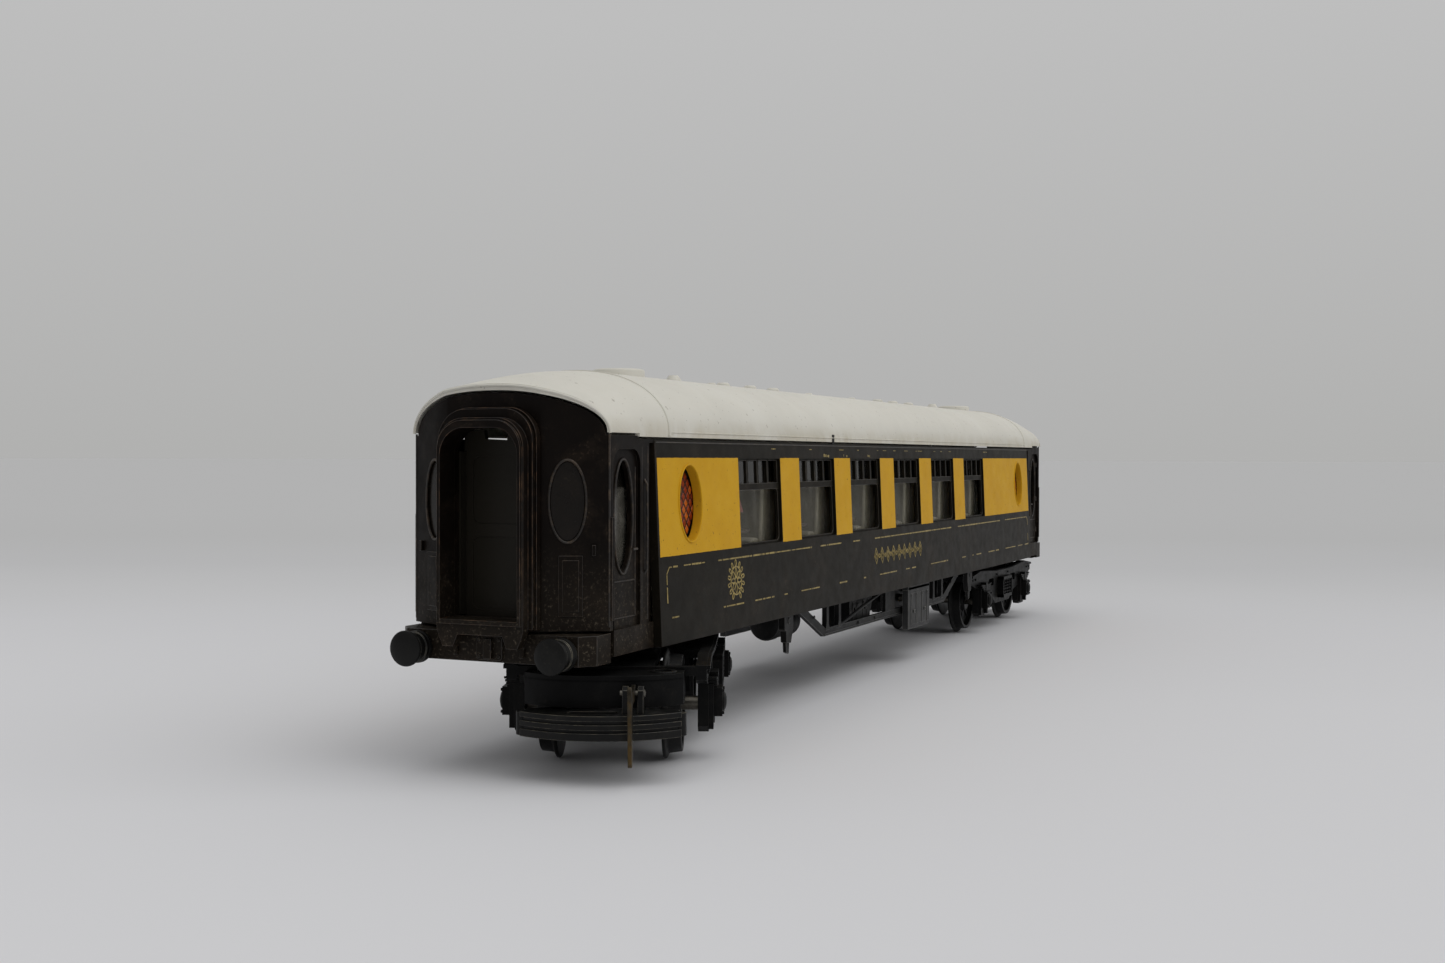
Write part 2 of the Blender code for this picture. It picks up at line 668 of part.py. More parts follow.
# ------------------------------------------------------------------- bogies
# Bogie frame: x towards its coupling, y across, z up, origin on the floor
# under the pivot.
def bogie_frame():
    deck = [(-30.3, -13.0), (-28.9, -13.0), (-28.9, -6.3), (-11.2, -6.3),
            (-11.2, -12.4), (11.2, -12.4), (11.2, -6.3), (28.9, -6.3),
            (28.9, -13.0), (30.3, -13.0), (30.3, 13.0), (28.9, 13.0),
            (28.9, 6.3), (11.2, 6.3), (11.2, 12.4), (-11.2, 12.4),
            (-11.2, 6.3), (-28.9, 6.3), (-28.9, 13.0), (-30.3, 13.0)]
    bm = slab_xy([deck], 13.0, 14.2)
    a = WHEELBASE / 2
    side = [(-30.3, 14.4), (-30.3, 12.4), (-26.6, 11.4), (-a - 3.4, 11.0),
            (-a - 3.4, 5.0), (-a - 2.2, 4.1), (-a + 2.2, 4.1),
            (-a + 3.4, 5.0), (-a + 3.4, 9.2), (-10.6, 8.2), (-7.0, 6.2),
            (7.0, 6.2), (10.6, 8.2), (a - 3.4, 9.2), (a - 3.4, 5.0),
            (a - 2.2, 4.1), (a + 2.2, 4.1), (a + 3.4, 5.0),
            (a + 3.4, 11.0), (26.6, 11.4), (30.3, 12.4), (30.3, 14.4),
            (23.0, 15.2), (8.0, 14.4), (-8.0, 14.4), (-23.0, 15.2)]
    slots = [[(-13.4, 10.8), (-13.4, 12.6), (-8.6, 12.6), (-8.6, 10.8)],
             [(8.6, 10.8), (8.6, 12.6), (13.4, 12.6), (13.4, 10.8)]]
    for t in (-1, 1):
        y0, y1 = sorted((t * 12.1, t * 13.6))
        bm = union(bm, slab_xz([side] + slots, y0, y1))
        for s in (-1, 1):
            y0, y1 = sorted((t * 13.2, t * 16.1))
            bm = union(bm, box(s * a - 1.9, s * a + 1.9, y0, y1, 6.2, 10.2))
            y0, y1 = sorted((t * 13.2, t * 14.9))
            bm = union(bm, box(s * a - 4.6, s * a + 4.6, y0, y1, 10.9, 12.3))
            bm = cut(bm, rod((s * a, t * 10, AXLE_Z), (s * a, t * 14.2,
                                                       AXLE_Z), 1.4, 12))
        # bolster springs
        y0, y1 = sorted((t * 13.2, t * 15.2))
        bm = union(bm, box(-4.6, 4.6, y0, y1, 7.4, 12.6))
    # curved apron over the coupling, with its two bosses
    apron = [(30.0, -10.6), (33.4, -10.6), (35.6, -8.6), (36.7, -4.0),
             (36.9, 0.0), (36.7, 4.0), (35.6, 8.6), (33.4, 10.6),
             (30.0, 10.6)]
    bm = union(bm, slab_xy([apron], 9.6, 13.8))
    hollow = [(29.2, -5.4), (34.6, -5.4), (35.3, 0.0), (34.6, 5.4),
              (29.2, 5.4)]
    bm = cut(bm, slab_xy([hollow], 9.0, 13.1))
    for y in (-7.85, 7.85):
        bm = cut(bm, rod((32.4, y, 9), (32.4, y, 16), 1.15, 12))
    bm = cut(bm, rod((0, 0, 5), (0, 0, 20), 1.85, 16))
    return tidy(bm)


def coupling():
    """Bumper bar on a slotted plate, with two lugs for the hook's pin."""
    n = 12
    bar, back = [], []
    for i in range(n + 1):
        y = -10.6 + 21.2 * i / n
        bar.append((42.0 - 4.0 * (abs(y) / 10.6) ** 2.2, y))
        back.append((40.3 - 4.0 * (abs(y) / 10.6) ** 2.2, y))
    bm = slab_xy([bar + back[::-1]], 6.05, 9.3)
    plate = [(30.9, -6.6), (33.6, -6.6), (35.6, -10.2), (37.0, -10.2),
             (39.5, -5.6), (40.9, 0.0), (39.5, 5.6), (37.0, 10.2),
             (35.6, 10.2), (33.6, 6.6), (30.9, 6.6)]
    slot = [(37.6, -4.2), (39.4, -4.2), (39.4, 2.2), (37.6, 2.2)]
    bm = union(bm, slab_xy([plate, slot], 8.5, 9.25))
    for y in (2.95, 4.95):
        lug = [(37.6, 9.0), (39.7, 9.0), (39.6, 12.3), (38.9, 12.8),
               (38.2, 12.7), (37.5, 12.0)]
        bm = union(bm, slab_xz([lug], y, y + 0.75))
    bm = cut(bm, rod((38.6, 2, 11.8), (38.6, 7, 11.8), 0.72, 10))
    # grooves along the face of the bar
    for z in (6.9, 8.0):
        groove = [(x + 0.25, y * 1.03) for x, y in bar] + \
                 [(x - 0.28, y * 1.03) for x, y in bar[::-1]]
        bm = cut(bm, slab_xy([groove], z, z + 0.45))
    return tidy(bm)


def coupling_hook():
    """Flat steel hook: eye on the pin, barb over the bar, tail below it."""
    eye = [(38.6 + 1.15 * math.cos(math.radians(a)),
            11.8 + 1.15 * math.sin(math.radians(a)))
           for a in range(60, 301, 30)]
    rest = [(39.6, 10.95), (42.6, 10.95), (43.0, 9.6), (43.0, 3.4),
            (43.5, 3.0), (44.1, 3.2), (44.5, 9.0), (45.0, 12.2),
            (44.6, 13.5), (43.9, 12.7), (42.6, 12.4), (39.8, 12.5)]
    hole = [(38.6 + 0.75 * math.cos(math.radians(a)),
             11.8 + 0.75 * math.sin(math.radians(a)))
            for a in range(0, 360, 36)]
    return tidy(slab_xz([eye + rest, hole], 4.05, 4.60))


def wheel_profile():
    g = BACK_TO_BACK / 2
    pts = [(1.30, g + 2.5), (2.3, g + 2.5), (2.6, g + 1.7), (5.7, g + 1.3),
           (6.0, g + 2.7), (WHEEL_TREAD_R - 0.1, g + 2.7),
           (WHEEL_TREAD_R + 0.1, g + 0.85), (WHEEL_FLANGE_R, g + 0.5),
           (WHEEL_FLANGE_R, g + 0.15), (WHEEL_FLANGE_R - 0.4, g),
           (1.30, g)]
    return [(r, h - g) for r, h in pts]


frame_bm = bogie_frame()
coupling_bm = coupling()
hook_bm = coupling_hook()
shared = {}
for end, x, turn in (("front", -PIVOT_X, 180.0 + BOGIE_TURN_DEG),
                     ("rear", PIVOT_X, 0.0)):
    pivot = bpy.data.objects.new("pivot_" + end, None)
    GUIDES.objects.link(pivot)
    pivot.location = (x * MM, 0, 0)
    pivot.rotation_euler = (0, 0, math.radians(turn))
    if not shared:
        shared["frame"] = part("bogie_frame_" + end, frame_bm, BLACK, pivot)
        shared["coupling"] = part("coupling_" + end, coupling_bm, BLACK,
                                  pivot)
        shared["hook"] = part("coupling_hook_" + end, hook_bm, STEEL, pivot,
                              origin=(38.6, 0, 11.8))
    else:
        part("bogie_frame_" + end, None, BLACK, pivot,
             mesh=shared["frame"].data)
        part("coupling_" + end, None, BLACK, pivot,
             mesh=shared["coupling"].data)
        part("coupling_hook_" + end, None, STEEL, pivot,
             origin=(38.6, 0, 11.8), mesh=shared["hook"].data)
    part("hook_pin_" + end, rod((38.6, 2.7, 11.8), (38.6, 5.9, 11.8), 0.40,
                                10), STEEL, pivot)
    for s, which in ((1, "outer"), (-1, "inner")):
        ax = s * WHEELBASE / 2
        spindle = bpy.data.objects.new("spindle_%s_%s" % (end, which), None)
        GUIDES.objects.link(spindle)
        spindle.parent = pivot
        spindle.location = (ax * MM, 0, AXLE_Z * MM)
        turned("axle_%s_%s" % (end, which),
               [(0.0, 13.7), (AXLE_R, 12.4), (AXLE_R, -12.4), (0.0, -13.7)],
               (0, 0, 0), (0, 1, 0), STEEL, 12, spindle)
        for t, hand in ((-1, "a"), (1, "b")):
            turned("wheel_%s_%s_%s" % (end, which, hand), wheel_profile(),
                   (0, t * BACK_TO_BACK / 2, 0), (0, t, 0), WHEEL, 20,
                   spindle)
    # pivot pin: belongs to the coach, its head holds the bogie up
    turned("pivot_pin_" + end,
           [(0.0, 6.4), (1.5, 6.4), (1.5, 1.2), (3.2, 1.2), (3.2, 0.3),
            (2.6, 0.0), (0.0, 0.0)],
           (x, 0, 11.4), (0, 0, 1), STEEL, 16)
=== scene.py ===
"""Looks for the parlour coach: finer meshes, worn plastics, worn paint, studio.

Geometry is written in millimetres in the same frame as the CAD model: +X along
the coach away from the camera, +Z up, near side at -Y.
"""
import math
import random

import bmesh
import bpy
from mathutils import Matrix, Vector


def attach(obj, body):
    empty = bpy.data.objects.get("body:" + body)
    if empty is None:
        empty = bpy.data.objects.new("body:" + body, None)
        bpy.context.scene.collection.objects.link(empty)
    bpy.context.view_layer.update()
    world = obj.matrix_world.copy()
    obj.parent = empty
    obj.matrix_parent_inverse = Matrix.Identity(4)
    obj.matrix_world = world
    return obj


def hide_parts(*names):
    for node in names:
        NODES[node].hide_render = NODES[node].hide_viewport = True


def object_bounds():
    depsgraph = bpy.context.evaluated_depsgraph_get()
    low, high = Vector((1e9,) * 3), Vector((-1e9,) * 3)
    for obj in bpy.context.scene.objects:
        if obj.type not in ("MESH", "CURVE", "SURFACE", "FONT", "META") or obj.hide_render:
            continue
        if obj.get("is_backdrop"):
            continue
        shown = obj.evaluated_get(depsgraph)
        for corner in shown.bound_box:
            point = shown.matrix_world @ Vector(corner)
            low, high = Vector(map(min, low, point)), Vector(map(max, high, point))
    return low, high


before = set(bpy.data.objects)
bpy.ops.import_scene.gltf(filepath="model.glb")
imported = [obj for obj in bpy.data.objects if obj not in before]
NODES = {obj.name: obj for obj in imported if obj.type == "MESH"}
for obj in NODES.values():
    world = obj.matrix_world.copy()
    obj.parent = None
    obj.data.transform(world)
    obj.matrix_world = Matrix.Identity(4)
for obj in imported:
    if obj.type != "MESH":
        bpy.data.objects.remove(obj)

CAD_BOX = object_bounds()
MM = 0.001
scene = bpy.context.scene
rng = random.Random(76)

# ------------------------------------------------------- dimensions, as in the CAD
SIDE_HALF_LENGTH, CORNER_X, END_X = 111.2, 124.57, 128.85
HALF_W_TOP, HALF_W_SILL, HALF_W_CORNER, FACET_HALF_W = 14.92, 16.18, 15.20, 7.30
SILL_Z, CANTRAIL_Z, DOOR_WALL_Z, STEP_Z, WALL = 16.18, 45.00, 45.40, 19.70, 1.30
ARC_SPRING_Z, ARC_RISE, ARC_HALF_W, ARC_POWER = 45.60, 5.36, 14.60, 2.2
WINDOW_X0, WINDOW_PITCH, WINDOW_W, WINDOW_Z0, WINDOW_Z1, WINDOW_COUNT = -82.05, 26.06, 17.28, 28.65, 42.30, 6
OVAL_X, OVAL_Z, OVAL_W, OVAL_H = 100.10, 35.86, 7.40, 10.90
DOOR_LIGHT_X, DOOR_LIGHT_Z, DOOR_LIGHT_W, DOOR_LIGHT_H = 119.70, 34.55, 5.00, 14.90
DOOR_X0, DOOR_X1, DOOR_TOP = 115.40, 123.70, 43.60
GANGWAY_FACE_X = 132.70
ROOF_RIM_Z, ROOF_RIM_END_Z, ROOF_BAND_Z, ROOF_APEX_Z = 45.30, 45.75, 46.10, 54.90
ROOF_HALF_W, ROOF_THICK, ROOF_DOME_START = 15.25, 0.90, 107.0
PIVOT_X, WHEELBASE, AXLE_Z = 90.88, 40.22, 7.80
BUFFER_Y, BUFFER_Z, BUFFER_X, BUFFER_R = 11.08, 17.00, 133.50, 2.40
LEAN = math.atan2(HALF_W_SILL - HALF_W_TOP, CANTRAIL_Z - SILL_Z)
SCRATCH = bpy.data.collections.new("scratch")
scene.collection.children.link(SCRATCH)

# ====================================================================== stage
# Camera at the photograph's viewing angle: low, close to one end corner.
YAW, PITCH, ROLL = math.radians(23.928), math.radians(-0.857), math.radians(0.125)
EYE = Vector((-309.85, -113.45, 42.47)) * MM
cam_data = bpy.data.cameras.new("studio_camera")
cam_data.sensor_fit = "HORIZONTAL"
cam_data.sensor_width = 36.0
cam_data.lens = 1599.7 * 36.0 / 1445.0
cam_data.clip_start = 0.01
cam_data.clip_end = 60.0
cam = bpy.data.objects.new("studio_camera", cam_data)
scene.collection.objects.link(cam)
fwd = Vector((math.cos(YAW) * math.cos(PITCH), math.sin(YAW) * math.cos(PITCH), math.sin(PITCH)))
side_dir = Vector((math.sin(YAW), -math.cos(YAW), 0.0))
up = side_dir.cross(fwd)
rt2 = math.cos(ROLL) * side_dir + math.sin(ROLL) * up
up2 = -math.sin(ROLL) * side_dir + math.cos(ROLL) * up
cam.matrix_world = Matrix.Translation(EYE) @ Matrix((rt2, up2, -fwd)).transposed().to_4x4()
scene.camera = cam
scene.view_settings.view_transform = "Standard"
scene.view_settings.look = "None"


# ================================================================== materials
def srgb(r, g, b):
    def f(c):
        c = c / 255.0
        return c / 12.92 if c <= 0.04045 else ((c + 0.055) / 1.055) ** 2.4
    return (f(r), f(g), f(b), 1.0)


def new_mat(name):
    m = bpy.data.materials.new(name)
    m.use_nodes = True
    return m, m.node_tree, m.node_tree.nodes["Principled BSDF"]


def put(nt, sock, v):
    if hasattr(v, "is_output"):
        nt.links.new(v, sock)
    else:
        sock.default_value = v


def ramp(nt, fac, stops):
    r = nt.nodes.new("ShaderNodeValToRGB")
    els = r.color_ramp.elements
    while len(els) < len(stops):
        els.new(0.5)
    for e, (p, c) in zip(els, stops):
        e.position = p
        if isinstance(c, (int, float)):
            c = (c, c, c, 1.0)
        e.color = c
    nt.links.new(fac, r.inputs["Fac"])
    return r.outputs["Color"]


def mix(nt, fac, a, b):
    m = nt.nodes.new("ShaderNodeMix")
    m.data_type = "RGBA"
    put(nt, m.inputs[0], fac)
    put(nt, m.inputs[6], a)
    put(nt, m.inputs[7], b)
    return m.outputs[2]


def mth(nt, op, *vals):
    m = nt.nodes.new("ShaderNodeMath")
    m.operation = op
    for i, v in enumerate(vals):
        put(nt, m.inputs[i], v)
    return m.outputs[0]


def noise(nt, co, scale, detail=4.0, rough=0.55, dist=0.0):
    n = nt.nodes.new("ShaderNodeTexNoise")
    n.inputs["Scale"].default_value = scale
    n.inputs["Detail"].default_value = detail
    n.inputs["Roughness"].default_value = rough
    n.inputs["Distortion"].default_value = dist
    nt.links.new(co, n.inputs["Vector"])
    return n.outputs["Fac"]


def coords(nt, stretch=None):
    co = nt.nodes.new("ShaderNodeTexCoord").outputs["Object"]
    if stretch:
        m = nt.nodes.new("ShaderNodeMapping")
        m.inputs["Scale"].default_value = stretch
        nt.links.new(co, m.inputs["Vector"])
        return m.outputs["Vector"]
    return co


def bump(nt, bsdf, height, distance, strength=0.4):
    b = nt.nodes.new("ShaderNodeBump")
    b.inputs["Strength"].default_value = strength
    b.inputs["Distance"].default_value = distance
    nt.links.new(height, b.inputs["Height"])
    nt.links.new(b.outputs["Normal"], bsdf.inputs["Normal"])


def dusted(nt, co, col, dust, amount, patch=120.0, speck=2600.0, low=0.50, high=0.74):
    """Pale dust: soft patches, with small specks where it is thickest."""
    patches = ramp(nt, noise(nt, co, patch, 6.0, 0.72, 0.4), [(low, 0.0), (high, 1.0)])
    specks = ramp(nt, noise(nt, co, speck, 2.0, 0.5), [(0.58, 0.0), (0.68, 1.0)])
    d = mth(nt, "MULTIPLY", patches, mth(nt, "MULTIPLY_ADD", specks, 0.75, 0.25))
    return mix(nt, mth(nt, "MULTIPLY", d, amount), col, dust)


def moulded(name, colour, dark, light, rough=(0.38, 0.55), dust=None, dust_amount=0.35,
            grain=0.00003, mottle=260.0, spec=0.5, patch=120.0, ior=1.45, settle=None):
    """Moulded plastic: soft mottling, skin grain and dust that gathers in patches."""
    m, nt, bsdf = new_mat(name)
    co = coords(nt)
    col = ramp(nt, noise(nt, co, mottle, 5.0, 0.6), [(0.25, dark), (0.55, colour), (0.85, light)])
    if dust is not None:
        col = dusted(nt, co, col, dust, dust_amount, patch)
    if settle is not None:      # dirt that has settled low down: (height where it starts, depth, amount)
        sep = nt.nodes.new("ShaderNodeSeparateXYZ")
        nt.links.new(co, sep.inputs[0])
        low = mth(nt, "MAXIMUM", mth(nt, "MINIMUM", mth(nt, "MULTIPLY_ADD", sep.outputs["Z"], -1000.0 / settle[1],
                                                        settle[0] / settle[1]), 1.0), 0.0)
        grit = ramp(nt, noise(nt, co, 2100.0, 4.0, 0.75), [(0.56, 0.0), (0.68, 1.0)])
        film = mth(nt, "MULTIPLY_ADD", grit, 0.85, 0.10)
        col = mix(nt, mth(nt, "MULTIPLY", mth(nt, "MULTIPLY", low, film), settle[2]), col, srgb(140, 128, 110))
    put(nt, bsdf.inputs["Base Color"], col)
    bsdf.inputs["IOR"].default_value = ior
    r = ramp(nt, noise(nt, co, 420.0, 4.0, 0.6), [(0.3, rough[0]), (0.7, rough[1])])
    put(nt, bsdf.inputs["Roughness"], r)
    bsdf.inputs["Specular IOR Level"].default_value = spec
    bump(nt, bsdf, noise(nt, co, 5200.0, 2.0, 0.5), grain)
    return m


def worn_edge(name, base, worn, amount=0.6, rough=0.42, scale=700.0, low=0.42, high=0.62):
    """Rubbed arris of a moulding: base colour broken by lighter worn patches."""
    m, nt, bsdf = new_mat(name)
    co = coords(nt)
    a = ramp(nt, noise(nt, co, scale, 5.0, 0.7), [(low, 0.0), (high, 1.0)])
    col = mix(nt, mth(nt, "MULTIPLY", a, amount), base, worn)
    put(nt, bsdf.inputs["Base Color"], col)
    bsdf.inputs["Roughness"].default_value = rough
    bump(nt, bsdf, noise(nt, co, 4000.0, 2.0, 0.5), 0.00003)
    return m


UMBER, UMBER_D, UMBER_L = srgb(28, 25, 19), srgb(23, 20, 15), srgb(35, 31, 24)
DUST = srgb(150, 142, 128)
TAN_DUST = srgb(132, 112, 92)
M_BLACK = moulded("black_moulding", srgb(13, 13, 13), srgb(9, 9, 9), srgb(21, 21, 21), (0.36, 0.52), DUST, 0.08,
                  spec=0.4, ior=1.22)
M_COUPLING = moulded("coupling_moulding", srgb(18, 18, 17), srgb(13, 13, 13), srgb(28, 28, 26), (0.32, 0.48), DUST,
                     0.09, spec=0.4, ior=1.3)
M_WHEEL = moulded("wheel_moulding", srgb(13, 13, 13), srgb(9, 9, 9), srgb(22, 21, 20), (0.34, 0.5), DUST, 0.12,
                  spec=0.4, ior=1.3)
M_UNDER = moulded("underframe_moulding", srgb(24, 24, 24), srgb(18, 18, 18), srgb(36, 35, 34), (0.42, 0.58), DUST, 0.10,
                  spec=0.4, ior=1.3)
M_BATTERY = moulded("battery_box_moulding", srgb(54, 54, 54), srgb(43, 43, 43), srgb(69, 68, 66), (0.45, 0.6), DUST,
                    0.14, spec=0.4, ior=1.32)
M_UMBER = moulded("umber_moulding", UMBER, UMBER_D, UMBER_L, (0.44, 0.58), TAN_DUST, 0.18, patch=160.0, spec=0.4,
                  ior=1.18)
# painted shade: the end mouldings are the same umber plastic as the sides, coloured darker because the end faces away
# from the lights; the warm tint and the dirt settled low down are their own
M_END_SHADED = moulded("umber_end_painted_shade", srgb(15, 10, 7), srgb(11, 7, 5), srgb(23, 16, 11), (0.40, 0.56),
                    TAN_DUST, 0.22, patch=150.0, spec=0.4, ior=1.2, settle=(32.0, 13.0, 0.36))
# painted shade: the blind oval panels on the end are coloured darker than the side umber, as the end walls are
M_BLIND_OVAL_SHADED = moulded("umber_gloss_panel_painted_shade", srgb(20, 16, 12), srgb(16, 12, 9), srgb(28, 22, 17), (0.18, 0.3), TAN_DUST,
                  0.08, spec=0.4, ior=1.3)
M_SEAT = moulded("seat_moulding", srgb(150, 144, 122), srgb(126, 121, 102), srgb(168, 162, 142), (0.5, 0.65),
                 srgb(176, 172, 164), 0.15)
M_CUSHION = moulded("seat_cushion_moulding", srgb(172, 166, 144), srgb(152, 146, 126), srgb(190, 184, 164), (0.55, 0.7),
                    srgb(186, 182, 172), 0.15)
M_TABLE = moulded("table_moulding", srgb(96, 84, 68), srgb(78, 68, 56), srgb(118, 104, 84), (0.4, 0.55), DUST, 0.12)
M_LAMP = moulded("lamp_shade_moulding", srgb(168, 104, 96), srgb(148, 86, 80), srgb(186, 128, 118), (0.5, 0.65),
                 srgb(210, 180, 170), 0.15)
M_DOORPANEL = moulded("grey_insert", srgb(38, 35, 29), srgb(35, 32, 27), srgb(42, 38, 32), (0.34, 0.44), DUST, 0.02, mottle=60.0,
                      spec=0.4, ior=1.25)
# painted shade: a near-black backing that stands in for the shadowed interior behind the upper lights
M_SHADE_SHEET = moulded("painted_shade_backing", srgb(18, 17, 16), srgb(14, 13, 12), srgb(26, 25, 23), (0.6, 0.75), DUST, 0.05)
E_UMBER = worn_edge("umber_worn_edge", UMBER, srgb(92, 80, 62), 0.40)
E_END = worn_edge("end_worn_edge", srgb(27, 22, 17), srgb(112, 92, 70), 0.42, scale=620.0, low=0.47, high=0.66)
# gangway rims: the lighter brass-brown patches are partly rubbed wear and partly painted highlight on the rims
E_GANGWAY_WEAR_AND_HIGHLIGHT = worn_edge("gangway_worn_and_highlit_edge", srgb(28, 22, 17), srgb(132, 98, 66), 0.50, rough=0.32, scale=560.0,
                      low=0.46, high=0.66)
E_BLACK = worn_edge("black_worn_edge", srgb(19, 19, 19), srgb(84, 82, 78), 0.34, scale=800.0)
E_COUPLING = worn_edge("coupling_worn_edge", srgb(28, 28, 27), srgb(118, 110, 90), 0.50, scale=800.0)
E_UNDER = worn_edge("underframe_worn_edge", srgb(34, 34, 34), srgb(96, 94, 88), 0.36)
E_BATTERY = worn_edge("battery_box_edge", srgb(68, 68, 67), srgb(120, 118, 112), 0.4)


def roof_material():
    m, nt, bsdf = new_mat("roof_white_moulding")
    co = coords(nt)
    col = ramp(nt, noise(nt, co, 60.0, 6.0, 0.6, 0.5),
               [(0.30, srgb(210, 207, 196)), (0.55, srgb(216, 213, 202)), (0.8, srgb(220, 218, 208))])
    # yellowed grime that creeps up from the gutter
    sep = nt.nodes.new("ShaderNodeSeparateXYZ")
    nt.links.new(co, sep.inputs[0])
    height = mth(nt, "MULTIPLY_ADD", sep.outputs["Z"], -1000.0 / 2.4, 48.2 / 2.4)
    gut = mth(nt, "MULTIPLY", mth(nt, "MAXIMUM", mth(nt, "MINIMUM", height, 1.0), 0.0),
              ramp(nt, noise(nt, co, 90.0, 6.0, 0.75, 0.8), [(0.36, 0.0), (0.70, 1.0)]))
    col = mix(nt, mth(nt, "MULTIPLY", gut, 0.60), col, srgb(176, 164, 132))
    streak = ramp(nt, noise(nt, coords(nt, (300.0, 40.0, 40.0)), 1.0, 5.0, 0.6), [(0.55, 0.0), (0.8, 1.0)])
    col = mix(nt, mth(nt, "MULTIPLY", streak, 0.07), col, srgb(196, 190, 172))
    specks = ramp(nt, noise(nt, co, 1500.0, 1.0, 0.4), [(0.73, 0.0), (0.76, 1.0)])
    col = mix(nt, mth(nt, "MULTIPLY", specks, 0.45), col, srgb(120, 108, 88))
    put(nt, bsdf.inputs["Base Color"], col)
    put(nt, bsdf.inputs["Roughness"], ramp(nt, noise(nt, co, 300.0, 4.0, 0.6), [(0.3, 0.46), (0.7, 0.62)]))
    bsdf.inputs["Subsurface Weight"].default_value = 0.04
    bsdf.inputs["Subsurface Radius"].default_value = (0.0010, 0.0008, 0.0006)
    bump(nt, bsdf, noise(nt, co, 4600.0, 2.0, 0.5), 0.00002)
    return m


def side_material():
    """Umber plastic with the printed cream band; chips and brown specks in the paint."""
    m, nt, bsdf = new_mat("side_two_colour_print")
    co = coords(nt)
    sep = nt.nodes.new("ShaderNodeSeparateXYZ")
    nt.links.new(co, sep.inputs[0])
    wob = mth(nt, "MULTIPLY_ADD", noise(nt, co, 1300.0, 4.0, 0.7), 0.00016, -0.00008)
    z = mth(nt, "ADD", sep.outputs["Z"], wob)
    x = mth(nt, "ADD", sep.outputs["X"], wob)
    band = mth(nt, "MULTIPLY", mth(nt, "GREATER_THAN", z, 0.02858), mth(nt, "LESS_THAN", z, 0.04242))
    band = mth(nt, "MULTIPLY", band, mth(nt, "LESS_THAN", mth(nt, "ABSOLUTE", x), 0.1106))
    # the six window bays stay umber
    u = mth(nt, "MULTIPLY_ADD", x, 1000.0 / WINDOW_PITCH, -(WINDOW_X0 - 0.12) / WINDOW_PITCH)
    bay = mth(nt, "LESS_THAN", mth(nt, "FRACT", u), (WINDOW_W + 0.24) / WINDOW_PITCH)
    bay = mth(nt, "MULTIPLY", bay, mth(nt, "GREATER_THAN", u, 0.0))
    bay = mth(nt, "MULTIPLY", bay, mth(nt, "LESS_THAN", u, float(WINDOW_COUNT)))
    band = mth(nt, "MULTIPLY", band, mth(nt, "SUBTRACT", 1.0, bay))
    chips = ramp(nt, noise(nt, co, 820.0, 5.0, 0.66), [(0.715, 0.0), (0.725, 1.0)])
    band = mth(nt, "MULTIPLY", band, mth(nt, "SUBTRACT", 1.0, chips))
    cream = ramp(nt, noise(nt, co, 170.0, 5.0, 0.6),
                 [(0.30, srgb(202, 152, 30)), (0.55, srgb(208, 159, 34)), (0.8, srgb(212, 165, 44))])
    tiny = ramp(nt, noise(nt, co, 2100.0, 2.0, 0.5), [(0.69, 0.0), (0.72, 1.0)])
    cream = mix(nt, mth(nt, "MULTIPLY", tiny, 0.55), cream, srgb(122, 82, 38))
    umber = ramp(nt, noise(nt, co, 240.0, 5.0, 0.6), [(0.25, UMBER_D), (0.55, UMBER), (0.85, UMBER_L)])
    umber = dusted(nt, co, umber, TAN_DUST, 0.20, 90.0)
    put(nt, bsdf.inputs["Base Color"], mix(nt, band, umber, cream))
    r1 = ramp(nt, noise(nt, co, 380.0, 4.0, 0.6), [(0.3, 0.38), (0.7, 0.5)])
    put(nt, bsdf.inputs["Roughness"], mth(nt, "MULTIPLY_ADD", band, 0.04, r1))
    bsdf.inputs["Specular IOR Level"].default_value = 0.4
    bsdf.inputs["IOR"].default_value = 1.18
    h = mth(nt, "MULTIPLY_ADD", band, 2.0, noise(nt, co, 5200.0, 2.0, 0.5))
    bump(nt, bsdf, h, 0.00002, 0.5)
    return m


def gold_material():
    m, nt, bsdf = new_mat("gold_print")
    co = coords(nt)
    col = ramp(nt, noise(nt, co, 900.0, 4.0, 0.6), [(0.3, srgb(126, 108, 52)), (0.7, srgb(182, 160, 88))])
    wear = ramp(nt, noise(nt, co, 1900.0, 3.0, 0.6), [(0.50, 0.0), (0.62, 1.0)])
    col = mix(nt, mth(nt, "MULTIPLY", wear, 0.55), col, UMBER)
    put(nt, bsdf.inputs["Base Color"], col)
    bsdf.inputs["Metallic"].default_value = 0.25
    bsdf.inputs["Roughness"].default_value = 0.42
    return m


def steel_material(name, dark, light, warm=None):
    m, nt, bsdf = new_mat(name)
    co = coords(nt)
    col = ramp(nt, noise(nt, co, 700.0, 5.0, 0.65), [(0.3, dark), (0.7, light)])
    if warm:
        col = mix(nt, ramp(nt, noise(nt, co, 380.0, 4.0, 0.7), [(0.48, 0.0), (0.64, 0.8)]), col, warm)
    put(nt, bsdf.inputs["Base Color"], col)
    bsdf.inputs["Metallic"].default_value = 0.9
    put(nt, bsdf.inputs["Roughness"], ramp(nt, noise(nt, co, 500.0, 3.0, 0.6), [(0.3, 0.30), (0.7, 0.46)]))
    bump(nt, bsdf, noise(nt, coords(nt, (200.0, 3000.0, 200.0)), 1.0, 2.0, 0.5), 0.00002)
    return m


